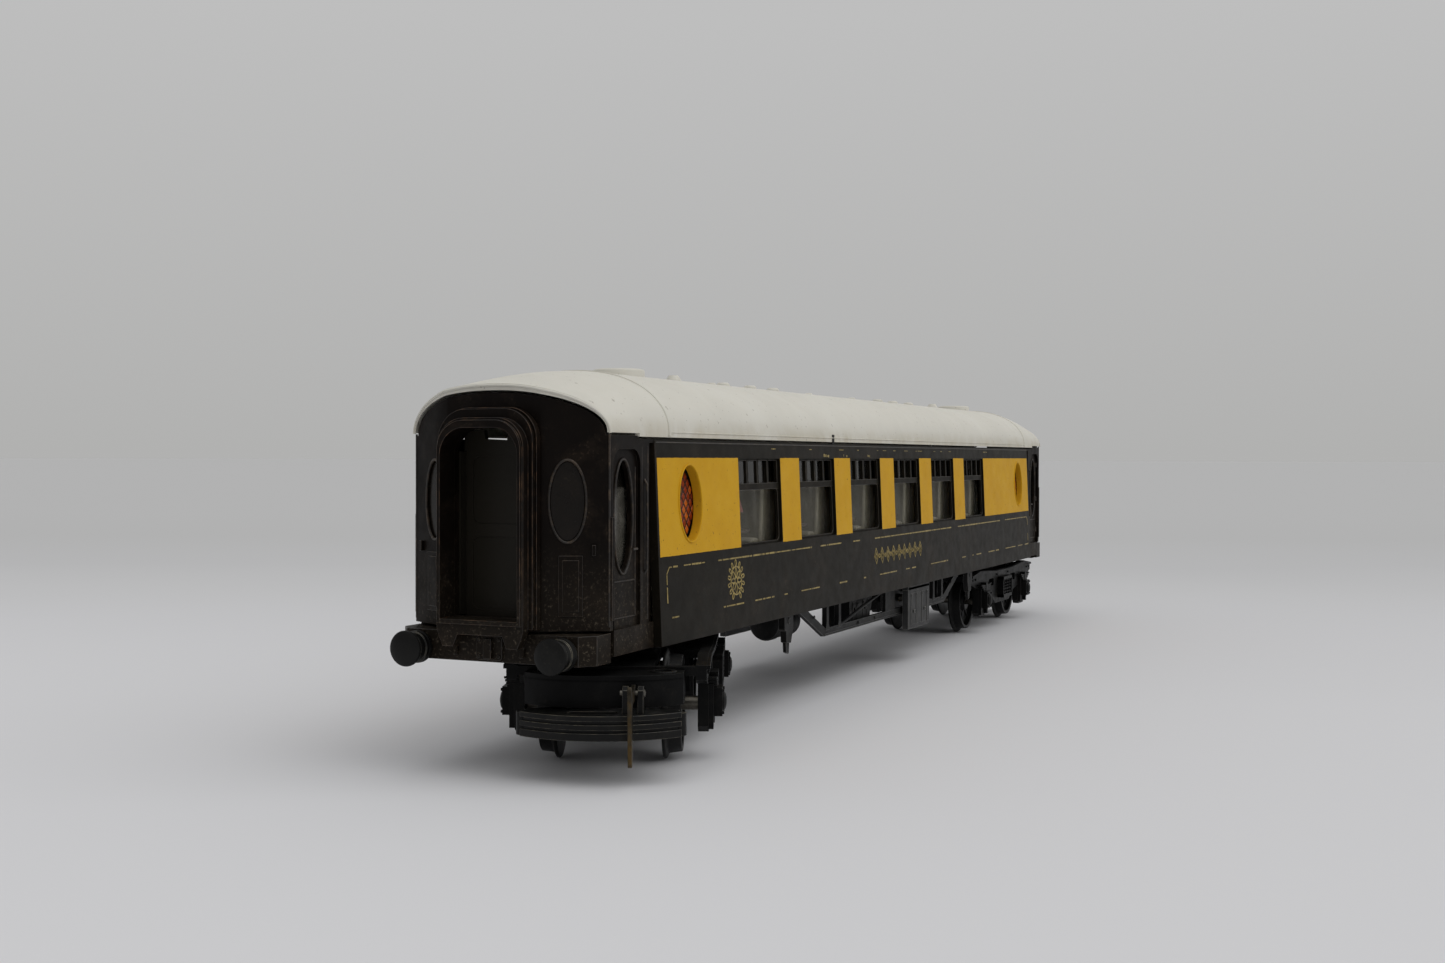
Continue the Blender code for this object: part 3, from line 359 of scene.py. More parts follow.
def glass_material(name, tint, alpha_low, alpha_high, scale=300.0, rough=0.08):
    """Thin clear moulding with a film of dust on it, and painted shade in the upper lights."""
    m, nt, bsdf = new_mat(name)
    co = coords(nt)
    film = noise(nt, co, scale, 6.0, 0.7, 0.3)
    sep = nt.nodes.new("ShaderNodeSeparateXYZ")         # painted shade: the upper lights are coloured dark and made nearly opaque, standing in for the shadowed interior behind them
    nt.links.new(co, sep.inputs[0])
    upper_shade = mth(nt, "MAXIMUM", mth(nt, "MINIMUM", mth(nt, "MULTIPLY_ADD", sep.outputs["Z"], 2500.0, -2500.0 * 0.0382), 1.0), 0.0)
    col = ramp(nt, film, [(0.3, tint), (0.8, srgb(104, 101, 93))])
    put(nt, bsdf.inputs["Base Color"], mix(nt, upper_shade, col, srgb(20, 18, 15)))
    haze = ramp(nt, film, [(0.42, alpha_low), (0.72, alpha_high)])
    put(nt, bsdf.inputs["Alpha"], mth(nt, "MAXIMUM", haze, mth(nt, "MULTIPLY", upper_shade, 0.72)))
    bsdf.inputs["Roughness"].default_value = rough
    bsdf.inputs["Specular IOR Level"].default_value = 0.8
    return m


def pane_material(name, c1, c2):
    m, nt, bsdf = new_mat(name)
    co = coords(nt)
    put(nt, bsdf.inputs["Base Color"], ramp(nt, noise(nt, co, 1500.0, 3.0, 0.6), [(0.3, c1), (0.7, c2)]))
    bsdf.inputs["Roughness"].default_value = 0.35
    bsdf.inputs["IOR"].default_value = 1.3
    return m


M_ROOF = roof_material()
M_SIDE = side_material()
M_GOLD = gold_material()
M_STEEL = steel_material("plain_steel", srgb(70, 67, 61), srgb(120, 116, 108))
M_HOOK = steel_material("hook_steel", srgb(42, 39, 33), srgb(70, 64, 53), srgb(92, 74, 44))
M_GLASS = glass_material("window_glazing", srgb(72, 71, 64), 0.12, 0.26)
M_SMOKED = glass_material("door_light_glazing", srgb(52, 50, 45), 0.86, 0.96, 300.0, 0.22)
M_AMBER = pane_material("leaded_amber", srgb(178, 80, 16), srgb(200, 104, 28))
M_RED = pane_material("leaded_red", srgb(126, 40, 14), srgb(152, 58, 20))
M_OCHRE = pane_material("leaded_ochre", srgb(84, 46, 18), srgb(112, 66, 24))
M_LEAD = moulded("window_lead", srgb(22, 19, 15), srgb(17, 14, 11), srgb(30, 26, 21), (0.4, 0.5), DUST, 0.05)


# ==================================================================== meshes
def frame_xz():
    return Matrix(((1, 0, 0, 0), (0, 0, -1, 0), (0, 1, 0, 0), (0, 0, 0, 1)))


def frame_yz():
    return Matrix(((0, 0, 1, 0), (1, 0, 0, 0), (0, 1, 0, 0), (0, 0, 0, 1)))


def outline(loops, depth, matrix=Matrix.Identity(4), centre=0.0):
    """A flat outline with holes, given a thickness."""
    curve = bpy.data.curves.new("outline", "CURVE")
    curve.dimensions = "2D"
    curve.fill_mode = "BOTH"
    curve.extrude = depth / 2.0
    for loop in loops:
        spline = curve.splines.new("POLY")
        spline.points.add(len(loop) - 1)
        for i, (point, (a, b)) in enumerate(zip(spline.points, loop)):
            point.co = (a + 5e-4 * math.sin(12.9 * i + 1.0), b + 5e-4 * math.cos(7.3 * i), 0.0, 1.0)
        spline.use_cyclic_u = True
    temp = bpy.data.objects.new("outline", curve)
    SCRATCH.objects.link(temp)
    graph = bpy.context.evaluated_depsgraph_get()
    mesh = bpy.data.meshes.new_from_object(temp.evaluated_get(graph))
    bm = bmesh.new()
    bm.from_mesh(mesh)
    bmesh.ops.remove_doubles(bm, verts=bm.verts, dist=1e-4)
    bmesh.ops.dissolve_limit(bm, angle_limit=math.radians(0.2), verts=bm.verts, edges=bm.edges)
    bmesh.ops.transform(bm, matrix=matrix @ Matrix.Translation((0, 0, centre)), verts=bm.verts)
    bmesh.ops.recalc_face_normals(bm, faces=bm.faces)
    bpy.data.objects.remove(temp, do_unlink=True)
    bpy.data.curves.remove(curve)
    bpy.data.meshes.remove(mesh)
    return bm


def slab_xz(loops, y0, y1):
    return outline(loops, abs(y1 - y0), frame_xz(), -(y0 + y1) / 2.0)


def slab_yz(loops, x0, x1):
    return outline(loops, abs(x1 - x0), frame_yz(), (x0 + x1) / 2.0)


def slab_xy(loops, z0, z1):
    return outline(loops, abs(z1 - z0), Matrix.Identity(4), (z0 + z1) / 2.0)


def box(x0, x1, y0, y1, z0, z1):
    bm = bmesh.new()
    size = Matrix.Diagonal((abs(x1 - x0), abs(y1 - y0), abs(z1 - z0), 1.0))
    bmesh.ops.create_cube(bm, size=1.0, matrix=Matrix.Translation(((x0 + x1) / 2, (y0 + y1) / 2, (z0 + z1) / 2)) @ size)
    return bm


def rod(p0, p1, r, seg=24, r_end=None):
    p0, p1 = Vector(p0), Vector(p1)
    axis = p1 - p0
    turn = axis.to_track_quat("Z", "Y").to_matrix().to_4x4()
    bm = bmesh.new()
    bmesh.ops.create_cone(bm, cap_ends=True, cap_tris=False, segments=seg, radius1=r,
                          radius2=r if r_end is None else r_end, depth=axis.length,
                          matrix=Matrix.Translation((p0 + p1) / 2) @ turn)
    return bm


def join(*parts):
    out = bmesh.new()
    for p in parts:
        mesh = bpy.data.meshes.new("join")
        p.to_mesh(mesh)
        out.from_mesh(mesh)
        bpy.data.meshes.remove(mesh)
    return out


def copy_of(bm, matrix=None):
    out = bm.copy()
    if matrix is not None:
        bmesh.ops.transform(out, matrix=matrix, verts=out.verts)
        if matrix.determinant() < 0:
            bmesh.ops.reverse_faces(out, faces=out.faces)
    return out


MIRROR_X = Matrix.Diagonal((-1, 1, 1, 1))
MIRROR_Y = Matrix.Diagonal((1, -1, 1, 1))


def boolean(bm_a, bm_b, operation):
    objs = []
    for bm in (bm_a, bm_b):
        mesh = bpy.data.meshes.new("temp")
        bm.to_mesh(mesh)
        o = bpy.data.objects.new("temp", mesh)
        SCRATCH.objects.link(o)
        objs.append(o)
    mod = objs[0].modifiers.new("cut", "BOOLEAN")
    mod.operation = operation
    mod.solver = "EXACT"
    mod.object = objs[1]
    mesh = bpy.data.meshes.new_from_object(objs[0].evaluated_get(bpy.context.evaluated_depsgraph_get()))
    out = bmesh.new()
    out.from_mesh(mesh)
    for o in objs:
        data = o.data
        bpy.data.objects.remove(o, do_unlink=True)
        bpy.data.meshes.remove(data)
    bpy.data.meshes.remove(mesh)
    return out


def cut(bm, *cutters):
    for c in cutters:
        bm = boolean(bm, c, "DIFFERENCE")
    return bm


def union(*parts):
    out = parts[0]
    for p in parts[1:]:
        out = boolean(out, p, "UNION")
    return out


def tidy(bm):
    bmesh.ops.remove_doubles(bm, verts=bm.verts, dist=2e-3)
    bmesh.ops.dissolve_degenerate(bm, edges=bm.edges, dist=1e-3)
    bmesh.ops.dissolve_limit(bm, angle_limit=math.radians(0.3), verts=bm.verts, edges=bm.edges)
    return bm


def piece(name, bm, mats, body="coach", nodes=(), bevel=0.0, seg=2, place=None, angle=35, limit=38):
    """Finish a mesh in millimetres as an object in metres that rides on a body."""
    if not isinstance(mats, (list, tuple)):
        mats = [mats]
    if place is not None:
        bmesh.ops.transform(bm, matrix=place, verts=bm.verts)
    bmesh.ops.recalc_face_normals(bm, faces=bm.faces)
    bmesh.ops.transform(bm, matrix=Matrix.Scale(MM, 4), verts=bm.verts)
    mesh = bpy.data.meshes.new(name)
    bm.to_mesh(mesh)
    bm.free()
    for m in mats:
        mesh.materials.append(m)
    mesh.shade_smooth()
    mesh.set_sharp_from_angle(angle=math.radians(angle))
    obj = bpy.data.objects.new(name, mesh)
    scene.collection.objects.link(obj)
    if bevel:
        mod = obj.modifiers.new("worn_edges", "BEVEL")
        mod.width = bevel * MM
        mod.segments = seg
        mod.limit_method = "ANGLE"
        mod.angle_limit = math.radians(limit)
        mod.harden_normals = True
        if len(mats) > 1:
            mod.material = 1
    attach(obj, body)
    if isinstance(nodes, str):
        nodes = (nodes,)
    if nodes:
        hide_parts(*nodes)
    return obj


def lathe(profile, seg=48, centre=(0, 0, 0), axis=(0, 0, 1)):
    """Turn (r, h) pairs round an axis."""
    bm = bmesh.new()
    rings = []
    for r, h in profile:
        if r < 1e-6:
            rings.append([bm.verts.new((0, 0, h))])
        else:
            rings.append([bm.verts.new((r * math.cos(2 * math.pi * i / seg), r * math.sin(2 * math.pi * i / seg), h))
                          for i in range(seg)])
    pairs = list(zip(rings, rings[1:]))
    if profile[0][0] > 1e-6 and profile[-1][0] > 1e-6:
        pairs.append((rings[-1], rings[0]))
    for a, b in pairs:
        for i in range(seg):
            j = (i + 1) % seg
            if len(a) == 1 and len(b) == 1:
                continue
            if len(a) == 1:
                bm.faces.new((a[0], b[j], b[i]))
            elif len(b) == 1:
                bm.faces.new((a[i], a[j], b[0]))
            else:
                bm.faces.new((a[i], a[j], b[j], b[i]))
    turn = Vector(axis).to_track_quat("Z", "Y").to_matrix().to_4x4()
    bmesh.ops.transform(bm, matrix=Matrix.Translation(centre) @ turn, verts=bm.verts)
    bmesh.ops.recalc_face_normals(bm, faces=bm.faces)
    return bm


def tube(points, r, seg=8, closed=False, squash=None):
    """A round bead along a path; squash flattens it along one direction."""
    pts = [Vector(p) for p in points]
    n = len(pts)
    bm = bmesh.new()
    rings = []
    ref = None
    for i, p in enumerate(pts):
        if closed:
            t = (pts[(i + 1) % n] - pts[i - 1]).normalized()
        else:
            t = (pts[min(i + 1, n - 1)] - pts[max(i - 1, 0)]).normalized()
        if ref is None:
            ref = Vector((0, 0, 1)) if abs(t.z) < 0.9 else Vector((1, 0, 0))
        a = (ref - t * ref.dot(t)).normalized()
        ref = a
        b = t.cross(a)
        ring = []
        for k in range(seg):
            q = 2 * math.pi * k / seg
            d = a * math.cos(q) * r + b * math.sin(q) * r
            if squash is not None:
                axis, f = squash
                axis = Vector(axis).normalized()
                d = d - axis * d.dot(axis) * (1 - f)
            ring.append(bm.verts.new(p + d))
        rings.append(ring)
    pairs = list(zip(rings, rings[1:]))
    if closed:
        pairs.append((rings[-1], rings[0]))
    for a, b in pairs:
        for k in range(seg):
            j = (k + 1) % seg
            bm.faces.new((a[k], a[j], b[j], b[k]))
    if not closed:
        bm.faces.new(rings[0])
        bm.faces.new(rings[-1][::-1])
    return bm


def ellipse(cx, cy, w, h, n=56):
    return [(cx + w / 2 * math.cos(2 * math.pi * i / n), cy + h / 2 * math.sin(2 * math.pi * i / n)) for i in range(n)]


def round_rect(x0, x1, y0, y1, r, n=5):
    pts = []
    for cx, cy, a0 in ((x1 - r, y1 - r, 0), (x0 + r, y1 - r, 90), (x0 + r, y0 + r, 180), (x1 - r, y0 + r, 270)):
        for i in range(n + 1):
            a = math.radians(a0 + 90.0 * i / n)
            pts.append((cx + r * math.cos(a), cy + r * math.sin(a)))
    return pts


def arch(half_w, z0, z1, r, n=10):
    pts = [(half_w, z0)]
    for i in range(n + 1):
        a = math.pi / 2 * i / n
        pts.append((half_w - r + r * math.cos(a), z1 - r + r * math.sin(a)))
    for i in range(n + 1):
        a = math.pi / 2 + math.pi / 2 * i / n
        pts.append((-half_w + r + r * math.cos(a), z1 - r + r * math.sin(a)))
    pts.append((-half_w, z0))
    return pts


def crown(t, half_w, base, rise, power):
    u = min(abs(t) / half_w, 1.0)
    return base + rise * math.sqrt(max(0.0, 1.0 - u ** power))


def fan(half_w, n):
    return [-half_w * math.cos(math.pi * i / n) for i in range(n + 1)]


def end_x(y, corner=CORNER_X, face=END_X):
    y = abs(y)
    if y <= FACET_HALF_W:
        return face
    k = (y - FACET_HALF_W) / (HALF_W_CORNER - FACET_HALF_W)
    return face + (corner - face) * min(k, 1.15)


def side_y(z):
    return HALF_W_SILL + (HALF_W_TOP - HALF_W_SILL) * (z - SILL_Z) / (CANTRAIL_Z - SILL_Z)


def side_place(t):
    """Panel coordinates: x, distance up the leaning side, distance outward."""
    c, s = math.cos(LEAN), math.sin(LEAN)
    return Matrix(((1, 0, 0, 0), (0, -t * s, t * c, t * HALF_W_SILL), (0, c, s, SILL_Z), (0, 0, 0, 1)))


def up_side(z):
    return (z - SILL_Z) / math.cos(LEAN)


# =============================================================== body: sides
U = up_side
for t, label in ((-1, "near"), (1, "far")):
    P = side_place(t)
    loops = [[(-SIDE_HALF_LENGTH, 0), (SIDE_HALF_LENGTH, 0), (SIDE_HALF_LENGTH, U(CANTRAIL_Z)),
              (-SIDE_HALF_LENGTH, U(CANTRAIL_Z))]]
    frames = []
    for k in range(WINDOW_COUNT):
        x0 = WINDOW_X0 + k * WINDOW_PITCH
        x1 = x0 + WINDOW_W
        loops.append(round_rect(x0, x1, U(WINDOW_Z0), U(WINDOW_Z1), 0.45, 4))
        xa, xb, za, zm, zn, zb = x0 - 0.3, x1 + 0.3, U(WINDOW_Z0) - 0.3, U(37.40), U(38.42), U(WINDOW_Z1) + 0.3
        lower = [[(xa, za), (xb, za), (xb, zm + 0.5), (xa, zm + 0.5)],
                 round_rect(x0 + 0.55, x1 - 0.35, U(29.05), zm, 0.9, 5)]
        frames.append(outline(lower, 0.5, P, -0.5 - 0.25))
        members = [(xa, xb, zm - 0.02, zn), (xa, xb, U(42.02), zb), (xa, x0 + 0.55, zn - 0.2, zb),
                   (x1 - 0.45, xb, zn - 0.2, zb)]
        width = (WINDOW_W - 1.0 - 3 * 0.72) / 4
        for j in range(3):
            a = x0 + 0.55 + width + j * (width + 0.72)
            members.append((a, a + 0.72, zn - 0.2, zb))
        for m_, (p, q, r_, t_) in enumerate(members):
            bm = box(p, q, r_, t_, -0.98, -0.45 if m_ else -0.40)
            bmesh.ops.transform(bm, matrix=P, verts=bm.verts)
            frames.append(bm)
    for s in (-1, 1):
        loops.append(ellipse(s * OVAL_X, U(OVAL_Z), OVAL_W, OVAL_H))
    piece("side_panel_" + label, outline(loops, WALL, P, -WALL / 2), [M_SIDE, M_SIDE],
          nodes="body_shell" if t < 0 else (), bevel=0.09)
    piece("window_frames_" + label, join(*frames), [M_UMBER, E_UMBER], bevel=0.07)
    # raised beads round the oval lights
    beads = []
    for s in (-1, 1):
        ring = [P @ Vector((a, b, 0.02)) for a, b in ellipse(s * OVAL_X, U(OVAL_Z), OVAL_W + 0.35, OVAL_H + 0.35, 64)]
        beads.append(tube(ring, 0.16, 8, closed=True))
    piece("oval_beads_" + label, join(*beads), M_SIDE)
    # a rain strip along the side
    strips = []
    for zz, rr in ((44.6, 0.11),):
        n0 = P @ Vector((-SIDE_HALF_LENGTH + 0.3, U(zz), 0.0))
        n1 = P @ Vector((SIDE_HALF_LENGTH - 0.3, U(zz), 0.0))
        strips.append(tube([n0, n0.lerp(n1, 0.5), n1], rr, 8))
    piece("side_beads_" + label, join(*strips), E_UMBER)
    # glazing strip behind the windows
    zc = (26.2 + 44.4) / 2
    yc = side_y(zc) - WALL - 0.35 - 0.3
    bm = box(-106.0, 106.0, -0.3, 0.3, -9.1, 9.1)
    piece("glazing_strip_" + label, bm, M_GLASS, nodes="glazing_" + label, bevel=0.08,
          place=Matrix.Translation((0, t * yc, zc)) @ Matrix.Rotation(t * LEAN, 4, "X"))

    # near-black plate behind the upper lights, painted shade standing in for the shadowed interior there, with the
    # luggage racks inside
    shade_sheet_and_racks = [outline([[(-86.0, U(38.55)), (70.0, U(38.55)), (70.0, U(44.3)), (-86.0, U(44.3))]], 0.3, P, -3.4)]
    for k in range(WINDOW_COUNT):
        c = WINDOW_X0 + k * WINDOW_PITCH + WINDOW_W / 2
        shade_sheet_and_racks.append(box(c - 10.6, c + 10.6, min(t * 9.4, t * 12.2), max(t * 9.4, t * 12.2), 38.6, 38.95))
    piece("pelmet_" + label, join(*shade_sheet_and_racks), [M_SHADE_SHEET, M_SHADE_SHEET], bevel=0.06)

    # leaded oval lights: diamonds between lead lines, on a dark back
    for s, en in ((-1, "front"), (1, "rear")):
        cx, cy = s * OVAL_X, U(OVAL_Z)
        back = outline([ellipse(cx, cy, OVAL_W + 1.2, OVAL_H + 1.2, 40)], 0.08, P, -1.58)
        piece("leaded_back_%s_%s" % (en, label), back, [M_LEAD, M_LEAD], bevel=0.02)
        panes = bmesh.new()
        ax_, ay_ = 0.78, 0.95
        local = random.Random(9 + s * 3 + t)
        for i in range(-9, 10):
            for j in range(-10, 11):
                if (i + j) % 2:
                    continue
                px, py = i * ax_, j * ay_
                if (px / (OVAL_W / 2 + 0.3)) ** 2 + (py / (OVAL_H / 2 + 0.3)) ** 2 > 1.0:
                    continue
                q = 0.76
                base = [(px + ax_ * q, py), (px, py + ay_ * q), (px - ax_ * q, py), (px, py - ay_ * q)]
                lo = [panes.verts.new(P @ Vector((cx + a, cy + b, -1.56))) for a, b in base]
                hi = [panes.verts.new(P @ Vector((cx + px + (a - px) * 0.8, cy + py + (b - py) * 0.8, -1.44)))
                      for a, b in base]
                idx = local.choice((0, 0, 1, 1, 1, 2))
                f = panes.faces.new(hi)
                f.material_index = idx
                for k in range(4):
                    g = panes.faces.new((lo[k], lo[(k + 1) % 4], hi[(k + 1) % 4], hi[k]))
                    g.material_index = idx
        piece("leaded_panes_%s_%s" % (en, label), panes, [M_RED, M_AMBER, M_OCHRE])

# -------------------------------------------------- gold lining and ornaments
def dash_line(P, a, b, width, solid, rnd, lo=0.6, hi=6.0):
    """Worn printed line: a run of thin strips with gaps between them."""
    a, b = Vector((a[0], a[1], 0)), Vector((b[0], b[1], 0))
    L = (b - a).length
    d = (b - a) / L
    nrm = Vector((-d.y, d.x, 0))
    out, pos = [], 0.0
    while pos < L:
        run = rnd.uniform(lo, hi)
        end = min(pos + run, L)
        if rnd.random() < solid:
            w = width * rnd.uniform(0.65, 1.1) / 2
            p, q = a + d * pos, a + d * end
            bm = bmesh.new()
            quad = [p - nrm * w, q - nrm * w, q + nrm * w, p + nrm * w]
            low = [bm.verts.new(v + Vector((0, 0, -0.02))) for v in quad]
            top = [bm.verts.new(v + Vector((0, 0, 0.025))) for v in quad]
            bm.faces.new(top)
            for k in range(4):
                bm.faces.new((low[k], low[(k + 1) % 4], top[(k + 1) % 4], top[k]))
            bmesh.ops.transform(bm, matrix=P, verts=bm.verts)
            out.append(bm)
        pos = end + rnd.uniform(0.08, 0.5)
    return out


def scroll(P, cx, cy, pts, r=0.10):
    path = [P @ Vector((cx + a, cy + b, 0.01)) for a, b in pts]
    normal = (P.to_3x3() @ Vector((0, 0, 1))).normalized()
    return tube(path, r, 6, squash=(normal, 0.35))


def spiral(cx, cy, r0, r1, a0, a1, n=18):
    return [(cx + (r0 + (r1 - r0) * i / n) * math.cos(math.radians(a0 + (a1 - a0) * i / n)),
             cy + (r0 + (r1 - r0) * i / n) * math.sin(math.radians(a0 + (a1 - a0) * i / n))) for i in range(n + 1)]


for t, label in ((-1, "near"), (1, "far")):
    P = side_place(t)
    rnd = random.Random(310 + t)
    gold = []
    x0, x1, z0, z1, c = -108.8, 108.8, U(19.95), U(27.05), 0.9
    corners = [(x0 + c, z1), (x1 - c, z1), (x1, z1 - c), (x1, z0), (x0, z0), (x0, z1 - c)]
    wear = [0.80, 0.85, 0.9, 0.62, 0.85, 0.95]
    for i, (a, b) in enumerate(zip(corners, corners[1:] + corners[:1])):
        gold += dash_line(P, a, b, 0.26, wear[i], rnd, 0.5, 5.0)
    # fine second line just above, mostly rubbed away
    gold += dash_line(P, (-80.0, U(43.9)), (80.0, U(43.9)), 0.14, 0.16, rnd, 0.3, 2.5)
    # plain rosette with leaves, in place of the crest
    cx, cy = -84.6, U(23.6)
    gold.append(scroll(P, cx, cy, ellipse(0, 0, 4.1, 4.3, 28) + [(2.05, 0)], 0.13))
    gold.append(scroll(P, cx, cy, ellipse(0, 0, 1.0, 1.0, 12) + [(0.5, 0)], 0.14))
    petals = [(45 * q_, 1.18, 0.70, 0.34) for q_ in range(8)]                       # flower inside the ring
    petals += [(-60 + 24 * q_, 2.66, 0.50, 0.26) for q_ in range(6)]                # leaves up the right side
    petals += [(240 - 24 * q_, 2.66, 0.50, 0.26) for q_ in range(6)]                # and up the left side
    petals += [(90, 2.7, 0.5, 0.30)]
    for turn, out, long_, wide in petals:
        ca_, sa_ = math.cos(math.radians(turn)), math.sin(math.radians(turn))
        ring = []
        for q_ in range(13):
            w_ = math.pi * 2 * q_ / 12
            r_, e_ = out + long_ * math.cos(w_), wide * math.sin(w_)
            ring.append((r_ * ca_ - e_ * sa_, r_ * sa_ + e_ * ca_))
        gold.append(scroll(P, cx, cy, ring, 0.11))
    # chain of plain lozenges and beads, in place of the printed name
    cz = U(23.6)
    for i in range(9):
        xx = -16.9 + i * 3.6
        for k_ in (1.0, 0.45):
            gold.append(scroll(P, xx, cz, [(0, 1.5 * k_), (1.15 * k_, 0), (0, -1.5 * k_), (-1.15 * k_, 0), (0, 1.5 * k_)], 0.15))
        if i < 8:
            gold.append(scroll(P, xx + 1.8, cz, ellipse(0, 0, 0.7, 0.7, 10) + [(0.35, 0)], 0.12))
    # rubbed remains of paint on the letterboard
    for xa_, xb_ in ((-44.0, -41.2), (-33.5, -31.0), (-20.0, -18.5)):
        gold += dash_line(P, (xa_, U(42.9)), (xb_, U(42.75)), 0.5, 0.55, rnd, 0.2, 0.7)
    piece("gold_lining_" + label, join(*gold), M_GOLD)


# ================================================================ body: ends
def end_shell():
    """The tapered vestibule at the -X end, with its recessed doors and angled facets."""
    s = -1
    plan = [(s * 110.9, -14.86), (s * CORNER_X, -HALF_W_CORNER), (s * END_X, -FACET_HALF_W),
            (s * END_X, FACET_HALF_W), (s * CORNER_X, HALF_W_CORNER), (s * 110.9, 14.86)]
    shell = slab_xy([plan], SILL_Z, 52.0)
    plan = [(s * 105.0, -13.75), (s * 123.93, -13.90), (s * 127.75, -6.95), (s * 127.75, 6.95),
            (s * 123.93, 13.90), (s * 105.0, 13.75)]
    shell = cut(shell, slab_xy([plan], 14.0, 60.0))
    arc = [(y, crown(y, ARC_HALF_W, ARC_SPRING_Z, ARC_RISE, ARC_POWER)) for y in fan(ARC_HALF_W, 44)]
    arc = [(-18, DOOR_WALL_Z), (-ARC_HALF_W - 0.01, DOOR_WALL_Z)] + arc + \
        [(ARC_HALF_W + 0.01, DOOR_WALL_Z), (18, DOOR_WALL_Z), (18, 60), (-18, 60)]
    shell = cut(shell, slab_yz([arc], -135, -100), box(-123.2, -100, -18, 18, DOOR_WALL_Z, 61),
                box(-116.3, -100, -18, 18, CANTRAIL_Z, 61), box(-135, -123.4, -18, 18, 10, STEP_Z))
    holes = [slab_xz([ellipse(s * DOOR_LIGHT_X, DOOR_LIGHT_Z, DOOR_LIGHT_W, DOOR_LIGHT_H, 44)], -20, 20),
             slab_yz([arch(6.1, 21.2, 46.3, 3.6, 10)], -132, -124.8)]
    shell = cut(shell, join(*holes))
    recess = []
    for t in (-1, 1):
        y0, y1 = sorted((t * 14.45, t * 20))
        door = [(-DOOR_X1, STEP_Z), (-DOOR_X0, STEP_Z), (-DOOR_X0, DOOR_TOP - 2.2)]
        door += [(-DOOR_X0 - 2.2 + 2.2 * math.cos(a), DOOR_TOP - 2.2 + 2.2 * math.sin(a))
                 for a in [math.pi / 2 * i / 6 for i in range(1, 7)]]
        door += [(-DOOR_X1 + 2.2 - 2.2 * math.sin(a), DOOR_TOP - 2.2 + 2.2 * math.cos(a))
                 for a in [math.pi / 2 * i / 6 for i in range(0, 7)]]
        recess.append(slab_xz([door], y0, y1))
        y0, y1 = sorted((t * 14.30, t * 20))
        recess.append(box(-112.7, -110.0, y0, y1, STEP_Z, CANTRAIL_Z - 0.5))
    shell = cut(shell, join(*recess))
    panels = []
    for t in (-1, 1):
        M = facet_place(t)
        bm = outline([ellipse(3.4, 36.7, 4.7, 10.6, 40)], 1.0, M)
        bmesh.ops.recalc_face_normals(bm, faces=bm.faces)
        panels.append(bm)
    shell = cut(shell, join(*panels))
    return tidy(shell)


def facet_place(t, s=-1):
    """Facet coordinates at the -X end: distance from the inner crease, height, outward."""
    a = Vector((s * END_X, t * FACET_HALF_W, 0))
    b = Vector((s * CORNER_X, t * HALF_W_CORNER, 0))
    along = (b - a).normalized()
    normal = Vector((s * abs(along.y), t * abs(along.x), 0))
    p = a + normal * 0.05
    return Matrix(((along.x, 0, normal.x, p.x), (along.y, 0, normal.y, p.y), (0, 1, 0, 0), (0, 0, 0, 1)))


def end_details():
    """Beads, door leaves, hinges and handles on the -X vestibule: mouldings, then rubbed hardware."""
    d, h = [], []
    for t in (-1, 1):
        M = facet_place(t)
        # soft rim round the blind oval
        d.append(tube([M @ Vector((a, b, -0.10)) for a, b in ellipse(3.4, 36.7, 4.9, 10.85, 56)], 0.20, 8, closed=True))
        # low bracket and lamp iron on the facet
        d.append(box_at(M, 2.2, 5.4, 21.6, 29.6, -0.2, 0.10))
        d.append(box_at(M, 2.7, 4.9, 22.2, 29.0, -0.1, 0.20))
        d.append(box_at(M, 6.6, 7.1, 29.6, 31.0, -0.2, 0.42))
        # corner bead
        d.append(tube([M @ Vector((8.86, 20.2, -0.10)), M @ Vector((8.86, 33, -0.10)), M @ Vector((8.86, 45.6, -0.10))],
                      0.16, 8))
        # handrail bracket on the corner, upper half of the wall stands clear
        d.append(box(-124.45, -123.75, min(t * 14.9, t * 15.42), max(t * 14.9, t * 15.42), 21.0, 34.6))
        # door leaf: stile lines, lower panel, rim of the tall light, hinges, handle
        y = t * 14.45
        yo = t * 14.62
        d.append(tube([(a, yo - t * 0.1, b) for a, b in
                       ellipse(-DOOR_LIGHT_X, DOOR_LIGHT_Z, DOOR_LIGHT_W + 0.5, DOOR_LIGHT_H + 0.5, 56)],
                      0.20, 8, closed=True))
        for a in (-DOOR_X1 + 0.7, -DOOR_X0 - 0.7):
            d.append(tube([(a, y, 21.0), (a, y, 30.0), (a, y, 41.2)], 0.13, 6))
        d.append(tube([(-DOOR_X1 + 0.7, y, 21.0), (-119.5, y, 21.0), (-DOOR_X0 - 0.7, y, 21.0)], 0.13, 6))
        d.append(tube([(-DOOR_X1 + 0.9, y, 25.9), (-119.5, y, 25.9), (-DOOR_X0 - 0.9, y, 25.9)], 0.13, 6))
        # door post beside the groove, with its two edges
        for a in (-114.9, -113.1):
            d.append(tube([(a, t * 14.82, 20.2), (a, t * 14.82, 32.0), (a, t * 14.82, 44.0)], 0.16, 8))
        for zz in (23.2, 31.5, 40.6):
            h.append(rod((-123.25, t * 14.55, zz - 0.6), (-123.25, t * 14.55, zz + 0.6), 0.28, 10))
        h.append(tube([(-116.4, yo, 30.1), (-116.4, yo + t * 0.35, 30.1), (-117.7, yo + t * 0.35, 30.1)], 0.17, 8))
        # grab rail beside the doorway
        a = -114.0
        h.append(tube([(a, t * 14.8, 26.5), (a, t * 15.25, 27.2), (a, t * 15.3, 33.0), (a, t * 15.25, 38.8),
                       (a, t * 14.8, 39.5)], 0.17, 8))
    return join(*d), join(*h)


